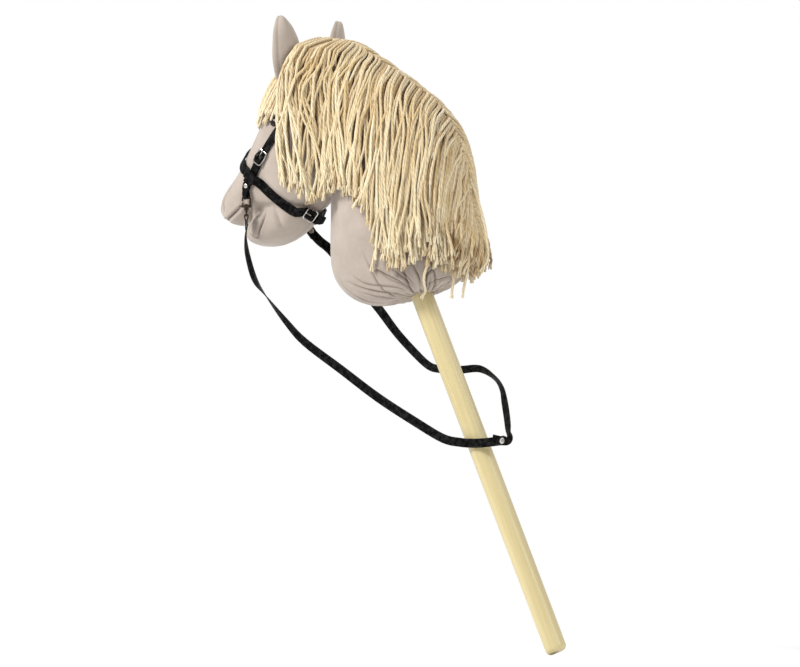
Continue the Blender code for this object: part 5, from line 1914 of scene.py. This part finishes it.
@dataclass
class Mane:
    """Half of the yarn mane: locks of strands over the crest and down one side."""

    side: Side
    tree: YarnTree
    strands: int = 420
    locks: int = 38
    clearance: float = 2.0 * MM
    thickness: float = 13.5 * MM
    back_half: float = 15 * MM
    back_from: float = 0.72
    radius: float = 1.74 * MM
    arch: float = 1.5 * MM
    turn_by: float = 0.34
    poll_reach: float = 55 * MM
    core: tuple[float, float, float] = (-225, 0, 540)
    beside: float = 0.15
    # Share of the crest, and how many millimetres over it the layer starts.
    lift: tuple[tuple[float, float], ...] = (
        (0.0, 5.5),
        (0.12, 4.0),
        (0.3, 0.6),
        (0.6, 1.2),
        (1.0, 1.5),
    )
    ear_root: float = 0.684
    crowding: float = 1.5
    loose_from: float = 0.68
    short_share: float = 0.1
    stations: int = 64
    rows: int = 44
    seed: int = 11

    def crest(self, skin: Skin) -> tuple[np.ndarray, np.ndarray]:
        """The crest's line on the cloth and the ways out along it.

        Args:
            skin: The cloth forms.

        Returns:
            Points and ways, one for each station.
        """
        middle = Vector(self.core) * MM
        points, outs = [], []
        for x, z, _ in MANE_CREST:
            place = Vector((x, 0, z)) * MM
            way = (place - middle).normalized()
            found = skin.hit(place + way * 0.05, -way)
            points.append(tuple(found[0]))
            outs.append(tuple(way))
        points, outs = smooth(points, 6), smooth(outs, 6)
        steps = np.concatenate([[0], np.cumsum(np.linalg.norm(np.diff(points, axis=0), axis=1))])
        at = np.linspace(0, steps[-1], self.stations)
        return evenly(points, steps, at), unit(evenly(outs, steps, at))

    def least_reach(self, share: float, v: float) -> float:
        """How far out the layer is at least: over the ear's root, and behind the neck.

        Args:
            share: How far along the crest the strand starts.
            v: How far down it the place is.

        Returns:
            The least distance from the middle plane.
        """
        poll = self.poll_reach * (1 - float(eased((share - 0.05) / 0.2))) * float(eased(v / 0.055))
        return max(poll, self.back_half * float(eased(v / 0.25)))

    def round_the_back(
        self, share: float, v: float, place: tuple[float, float, float], skin: Skin
    ) -> tuple[float, float, float]:
        """A place of the layer, laid on the neck's back where the strand starts far down the crest.

        Args:
            share: How far along the crest the strand starts.
            v: How far down it the place is.
            place: The place beside the neck, with its distance from the middle plane.
            skin: The cloth forms.

        Returns:
            The place, on this mane's own side.
        """
        x, reach, z = place
        sign = self.side.value
        weight = float(eased((share - self.back_from) / 0.16) * eased(v / 0.12))
        if weight > 0:
            slow = 0.3 + 0.75 * float(eased((share - self.back_from) / 0.14))
            across = np.interp(share, (self.back_from, 0.86, 1.0), (38, 26, 5)) * MM * float(eased(v / slow))
            found = skin.hit(Vector((0.05, sign * across, z)), Vector((-1, 0, 0)))
            if found:
                x += weight * (found[0].x + self.clearance - x)
                reach += weight * (across - reach)
        return x, sign * reach, z

    def sheet(self, skin: Skin, ears: Skin) -> tuple[np.ndarray, np.ndarray, np.ndarray]:
        """The layer that the strands lie in.

        Args:
            skin: The cloth forms.
            ears: The ears, which the first strands lie over.

        Returns:
            Its inner points, its ways out and its thickness, by station and row.
        """
        sign = self.side.value
        way = Vector((0, -sign, 0))
        tops, outs = self.crest(skin)
        crest_xs, _, hang_xs = np.array(MANE_CREST, float).T
        hem_xs, hems = np.array(MANE_HEMS, float).T
        shares = np.linspace(0, 1, self.rows) ** self.crowding
        grid = np.zeros((self.stations, self.rows, 3))
        thick = np.zeros((self.stations, self.rows))
        for i in range(self.stations):
            share = i / (self.stations - 1)
            lift = np.interp(share, *np.array(self.lift).T) * MM
            top = tops[i] + outs[i] * lift
            hang_x = np.interp(tops[i, 0] / MM, crest_xs, hang_xs) * MM
            hem = np.interp(hang_x / MM, hem_xs, hems) * MM
            reach = 0.0
            lean = 1 - 0.6 * eased((tops[i, 0] / MM + 160) / 40)
            for j, v in enumerate(shares):
                x = top[0] + (hang_x - top[0]) * (1 - (1 - min(v / self.turn_by, 1.0)) ** 2)
                z = top[2] + (hem - top[2]) * v
                start = Vector((x, sign * self.beside, z))
                found = skin.hit(start, way)
                if found:
                    reach = max(reach, abs(found[0].y) + self.clearance)
                if z < self.ear_root:
                    over = ears.hit(start, way)
                    if over and over[0].y * sign > 0:
                        reach = max(reach, abs(over[0].y) + 0.5 * MM)
                reach = max(reach, self.least_reach(share, float(v)))
                grid[i, j] = self.round_the_back(share, float(v), (x, reach, z), skin)
                thick[i, j] = self.thickness * lean * (1 - 0.3 * eased((v - 0.8) / 0.2))
        for _ in range(3):
            calmed(grid[:, :, :2].swapaxes(0, 1), 1)
            calmed(grid[:, :, 1], 1)
        ways = sign * unit(np.cross(np.gradient(grid, axis=0), np.gradient(grid, axis=1)))
        ways[:, 0] = outs
        for j, weight in ((1, 0.7), (2, 0.45), (3, 0.25)):
            ways[:, j] = unit(ways[:, j] * (1 - weight) + outs * weight)
        return grid, ways, thick

    def at(self, share: np.ndarray, v: np.ndarray, table: np.ndarray) -> np.ndarray:
        """Values of the layer between its stations and rows.

        Args:
            share: How far along the crest.
            v: How far down.
            table: The values by station and row.

        Returns:
            The values there.
        """
        i = np.clip(share, 0, 1) * (self.stations - 1)
        j = np.clip(v, 0, 1) ** (1 / self.crowding) * (self.rows - 1)
        i0 = np.minimum(i.astype(int), self.stations - 2)
        j0 = np.minimum(j.astype(int), self.rows - 2)
        fi, fj = i - i0, j - j0
        if table.ndim == 3:
            fi, fj = fi[:, None], fj[:, None]
        low = table[i0, j0] * (1 - fj) + table[i0, j0 + 1] * fj
        high = table[i0 + 1, j0] * (1 - fj) + table[i0 + 1, j0 + 1] * fj
        return low * (1 - fi) + high * fi

    def wave(self, v: np.ndarray, rng: np.random.Generator, slow: float, fast: float) -> np.ndarray:
        """A gentle wave down a strand, which starts below the crest.

        Args:
            v: How far down each point is.
            rng: Where the chances come from.
            slow: The least of its speed.
            fast: The most of its speed.

        Returns:
            The wave, from -1 to 1.
        """
        return np.sin(v * rng.uniform(slow, fast) + rng.uniform(0, 6.3)) * eased(v / 0.2)

    def strand_list(self, skin: Skin, ears: Skin) -> list[Strand]:
        """All the strands of this side.

        Args:
            skin: The cloth forms.
            ears: The ears.

        Returns:
            The strands, with their frayed ends.
        """
        grid, ways, thick = self.sheet(skin, ears)
        common = np.random.default_rng(self.seed)
        rng = np.random.default_rng(self.seed + self.side.value)
        pull = common.normal(0, 0.008, self.locks)
        tips = common.normal(0, 0.028, self.locks)
        crown = common.uniform(0.5, 1.4, self.locks)
        found: list[Strand] = []
        for n in range(self.strands):
            layer = (n * GOLDEN + common.uniform(0, 0.2)) % 1.0
            start = (n + common.uniform(-0.5, 0.5)) / self.strands
            start *= 0.6 + 0.4 * start
            tone = float(np.clip(common.normal(0.5, 0.28), 0, 1))
            lock = int(np.clip(start * self.locks, 0, self.locks - 1))
            centre = (lock + 0.5) / self.locks
            off = (start - centre) * self.locks
            end = 1.0 + tips[lock] - abs(rng.normal(0.0, 0.045 + 0.085 * start))
            flare = np.array((rng.normal(0, 5.0), self.side.value * abs(rng.normal(0, 2.0)), 0.0)) * MM
            if start < 0.05:
                flare[0] = abs(flare[0]) * 0.5
            if rng.random() < self.short_share:
                end -= rng.uniform(0.15, 0.62)
                flare *= 0.3
            v = np.concatenate([[0, 0.006, 0.016, 0.032, 0.055, 0.09], np.linspace(0.14, end, 18)])
            loose = layer > self.loose_from
            gather = rng.uniform(0.25, 0.6) if loose else rng.uniform(0.5, 1.0)
            share = start + (centre + pull[lock] - start) * gather * eased(v / 0.6)
            share += rng.normal(0, 0.022 if loose else 0.015) * (1 - eased(v / 0.3))
            share += (0.015 if loose else 0.006) * self.wave(v, rng, 3, 8)
            share += 0.0016 * self.wave(v, rng, 14, 24)
            calm = 0.45 + 0.55 * eased(start / 0.4)
            share += rng.normal(0, 0.022 if loose else 0.009) * calm * v**1.6
            depth = np.clip(layer + 0.2 * self.wave(v, rng, 4, 10), 0, 1)
            inner = self.radius + 0.2 * MM
            room = self.at(share, v, thick) - 2 * inner
            arched = self.arch * crown[lock] * math.cos(math.pi * off) * (1 - eased(v / 0.16))
            rise = inner + depth * room + arched
            points = self.at(share, v, grid) + self.at(share, v, ways) * rise[:, None]
            points[:, 2] -= np.maximum(v - 1.0, 0.0) * 0.17
            points += np.outer(eased((v - end + 0.26) / 0.26), flare)
            points[0, 1] = 0.0
            radius = self.radius * rng.uniform(0.84, 1.12)
            swell = 1 + 0.07 * np.sin(v * 40 + rng.uniform(0, 6.3))
            # Strands deep in the layer get more painted shade.
            strand = Strand(points, radius * swell, tone, float((1 - layer) ** 1.05))
            found += frayed(strand, rng, rng.uniform(1.0, 2.6) * MM)
        for stray in STRAYS:
            if stray.side is self.side:
                found += frayed(self.stray(stray, skin), rng, 1.6 * MM)
        return found

    def stray(self, loose: StrayStrand, skin: Skin) -> Strand:
        """A strand that hangs away from the others, over the cloth.

        Args:
            loose: The stray strand.
            skin: The cloth forms.

        Returns:
            The strand.
        """
        sign = self.side.value
        points, reach = [], 2 * MM
        for x, z in smooth(loose.line, 4) * MM:
            found = skin.hit(Vector((x, sign * self.beside, z)), Vector((0, -sign, 0)))
            reach = abs(found[0].y) + loose.near * MM if found else reach
            points.append((x, sign * reach, z))
        rows = calmed(np.array(points), 3)
        return Strand(rows, np.full(len(rows), self.radius * 0.95), 0.75, 0.0)

    def make(self, skin: Skin, ears: Skin) -> bpy.types.Object:
        """Builds and dresses this half of the mane.

        Args:
            skin: The cloth forms.
            ears: The ears.

        Returns:
            The piece.
        """
        word = self.side.word
        mesh = self.tree.grow(f"mane_{word}_yarn", self.strand_list(skin, ears), 5)
        return finished(f"mane_{word}_yarn", mesh, YARN, f"mane_{word}")


@dataclass
class Forelock:
    """The locks that fall forward between the ears and spread over the brow."""

    tree: YarnTree
    strands: int = 125
    radius: float = 1.66 * MM
    core: float = 34 * MM
    seed: int = 5
    # From the poll down: x, z and how many degrees the way out leans forward.
    line: tuple[tuple[float, float, float], ...] = (
        (-297, 688, 8),
        (-304, 688, 11),
        (-311, 687, 16),
        (-318, 685, 22),
        (-324, 682, 30),
        (-331, 677, 37),
        (-338, 671, 42),
        (-352, 655, 50),
        (-365, 637, 55),
        (-376, 618, 57),
        (-384, 602, 58),
    )
    # Share of the way down, and how many degrees it reaches to each side.
    spread: tuple[tuple[float, float], ...] = ((0.0, 30), (0.35, 40), (0.55, 60), (0.8, 86), (1.0, 88))
    # Share of the way down, and how many millimetres thick it is.
    body: tuple[tuple[float, float], ...] = (
        (0.0, 8),
        (0.3, 10.5),
        (0.6, 14),
        (0.8, 14),
        (0.92, 11),
        (1.0, 8),
    )

    def place(self, v: float, across: float, lift: float, skin: Skin) -> tuple[float, ...]:
        """A place over the cloth of the poll or brow.

        Args:
            v: How far down the forelock.
            across: Where it is between its two edges, from -1 to 1.
            lift: How far it is off the cloth.
            skin: The cloth forms and the strap over them.

        Returns:
            The place.
        """
        line = np.array(self.line, float)
        own = np.linspace(0, 1, len(line))
        x, z, degrees = (np.interp(v, own, line[:, k]) for k in range(3))
        lean = math.radians(degrees)
        out = Vector((-math.sin(lean), 0, math.cos(lean)))
        turn = across * math.radians(np.interp(v, *np.array(self.spread).T))
        way = out * math.cos(turn) + Vector((0, math.sin(turn), 0))
        middle = Vector((x, 0, z)) * MM - out * self.core
        hit = skin.hit(middle + way * 0.1, -way)
        far = (hit[0] - middle).length if hit else self.core * 0.8
        return tuple(middle + way * (max(far, self.core * 0.7) + lift))

    def strand_list(self, skin: Skin) -> list[Strand]:
        """All the strands of the forelock.

        Args:
            skin: The cloth forms and the strap over them.

        Returns:
            The strands, with their frayed ends.
        """
        rng = np.random.default_rng(self.seed)
        found: list[Strand] = []
        for n in range(self.strands):
            layer = (n * GOLDEN) % 1.0
            across = 2 * (n + rng.uniform(-0.4, 0.4)) / self.strands - 1
            end = min(1.0, 0.945 - 0.12 * across**2 + rng.normal(0, 0.03))
            drift, phase = rng.normal(0, 0.05), rng.uniform(0, 6.3)
            points = []
            for v in np.linspace(0, end, 18):
                side = across * 0.95 + drift * v + 0.035 * math.sin(v * 9 + phase)
                side = min(max(side, -0.97), 0.97)
                body = float(np.interp(v, *np.array(self.body).T)) * MM
                room = body * (1 - 0.5 * abs(side) ** 2) - 2 * self.radius
                lift = self.radius + (0.12 + 0.88 * layer) * max(room, 0.0)
                points.append(self.place(float(v), side, lift, skin))
            rows = calmed(np.array(points), 2)
            radius = np.full(len(rows), self.radius * rng.uniform(0.86, 1.1))
            tone = float(np.clip(rng.normal(0.6, 0.22), 0, 1))
            # Strands deep in the layer get more painted shade.
            strand = Strand(rows, radius, tone, float((1 - layer) ** 1.4))
            found += frayed(strand, rng, rng.uniform(0.8, 1.8) * MM)
        return found

    def make(self, skin: Skin) -> bpy.types.Object:
        """Builds and dresses the forelock."""
        mesh = self.tree.grow("forelock_yarn", self.strand_list(skin), 6)
        return finished("forelock_yarn", mesh, YARN, "forelock")


# The toy


def dress_nodes() -> None:
    """Gives every solid that stays its finish, by its slot."""
    for name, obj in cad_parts.items():
        for slot in obj.material_slots:
            word = slot.material.name if slot.material else ""
            finish = next((f for key, f in FINISHES.items() if key in word), None)
            if finish is None:
                LOG.info("%s keeps the finish %s", name, word)
            else:
                slot.material = (HOOK_STEEL if name.startswith("snap_") else finish).material()


def main() -> None:
    """Builds the studio and the toy, piece by piece."""
    logging.basicConfig(level=logging.INFO, format="%(message)s", stream=sys.stdout)
    studio = Studio()
    studio.camera()
    Rein(Side.LEFT, EYE_OF_LEFT_HOOK, REIN_LEFT, 0.477).make()
    Rein(Side.RIGHT, EYE_OF_RIGHT_HOOK, REIN_RIGHT, 0.465).make()
    studio.ground()
    studio.light()
    dress_nodes()
    Stick().make()
    StuffedHead().make()
    Ear(Side.LEFT, (-333, -37, 650), (-328, -60, 722)).make()
    Ear(Side.RIGHT, (-327, 37, 645), (-321, 60, 717)).make()
    for side in Side:
        Eye(side).make()
    skin, ears = Skin(*CLOTH_NODES), Skin("ear_left", "ear_right")
    tree = YarnTree(YARN.material())
    for side in Side:
        Mane(side, tree).make(skin, ears)
    Forelock(tree).make(Skin("neck", "head", "crown_strap"))


if __name__ == "__main__":
    main()
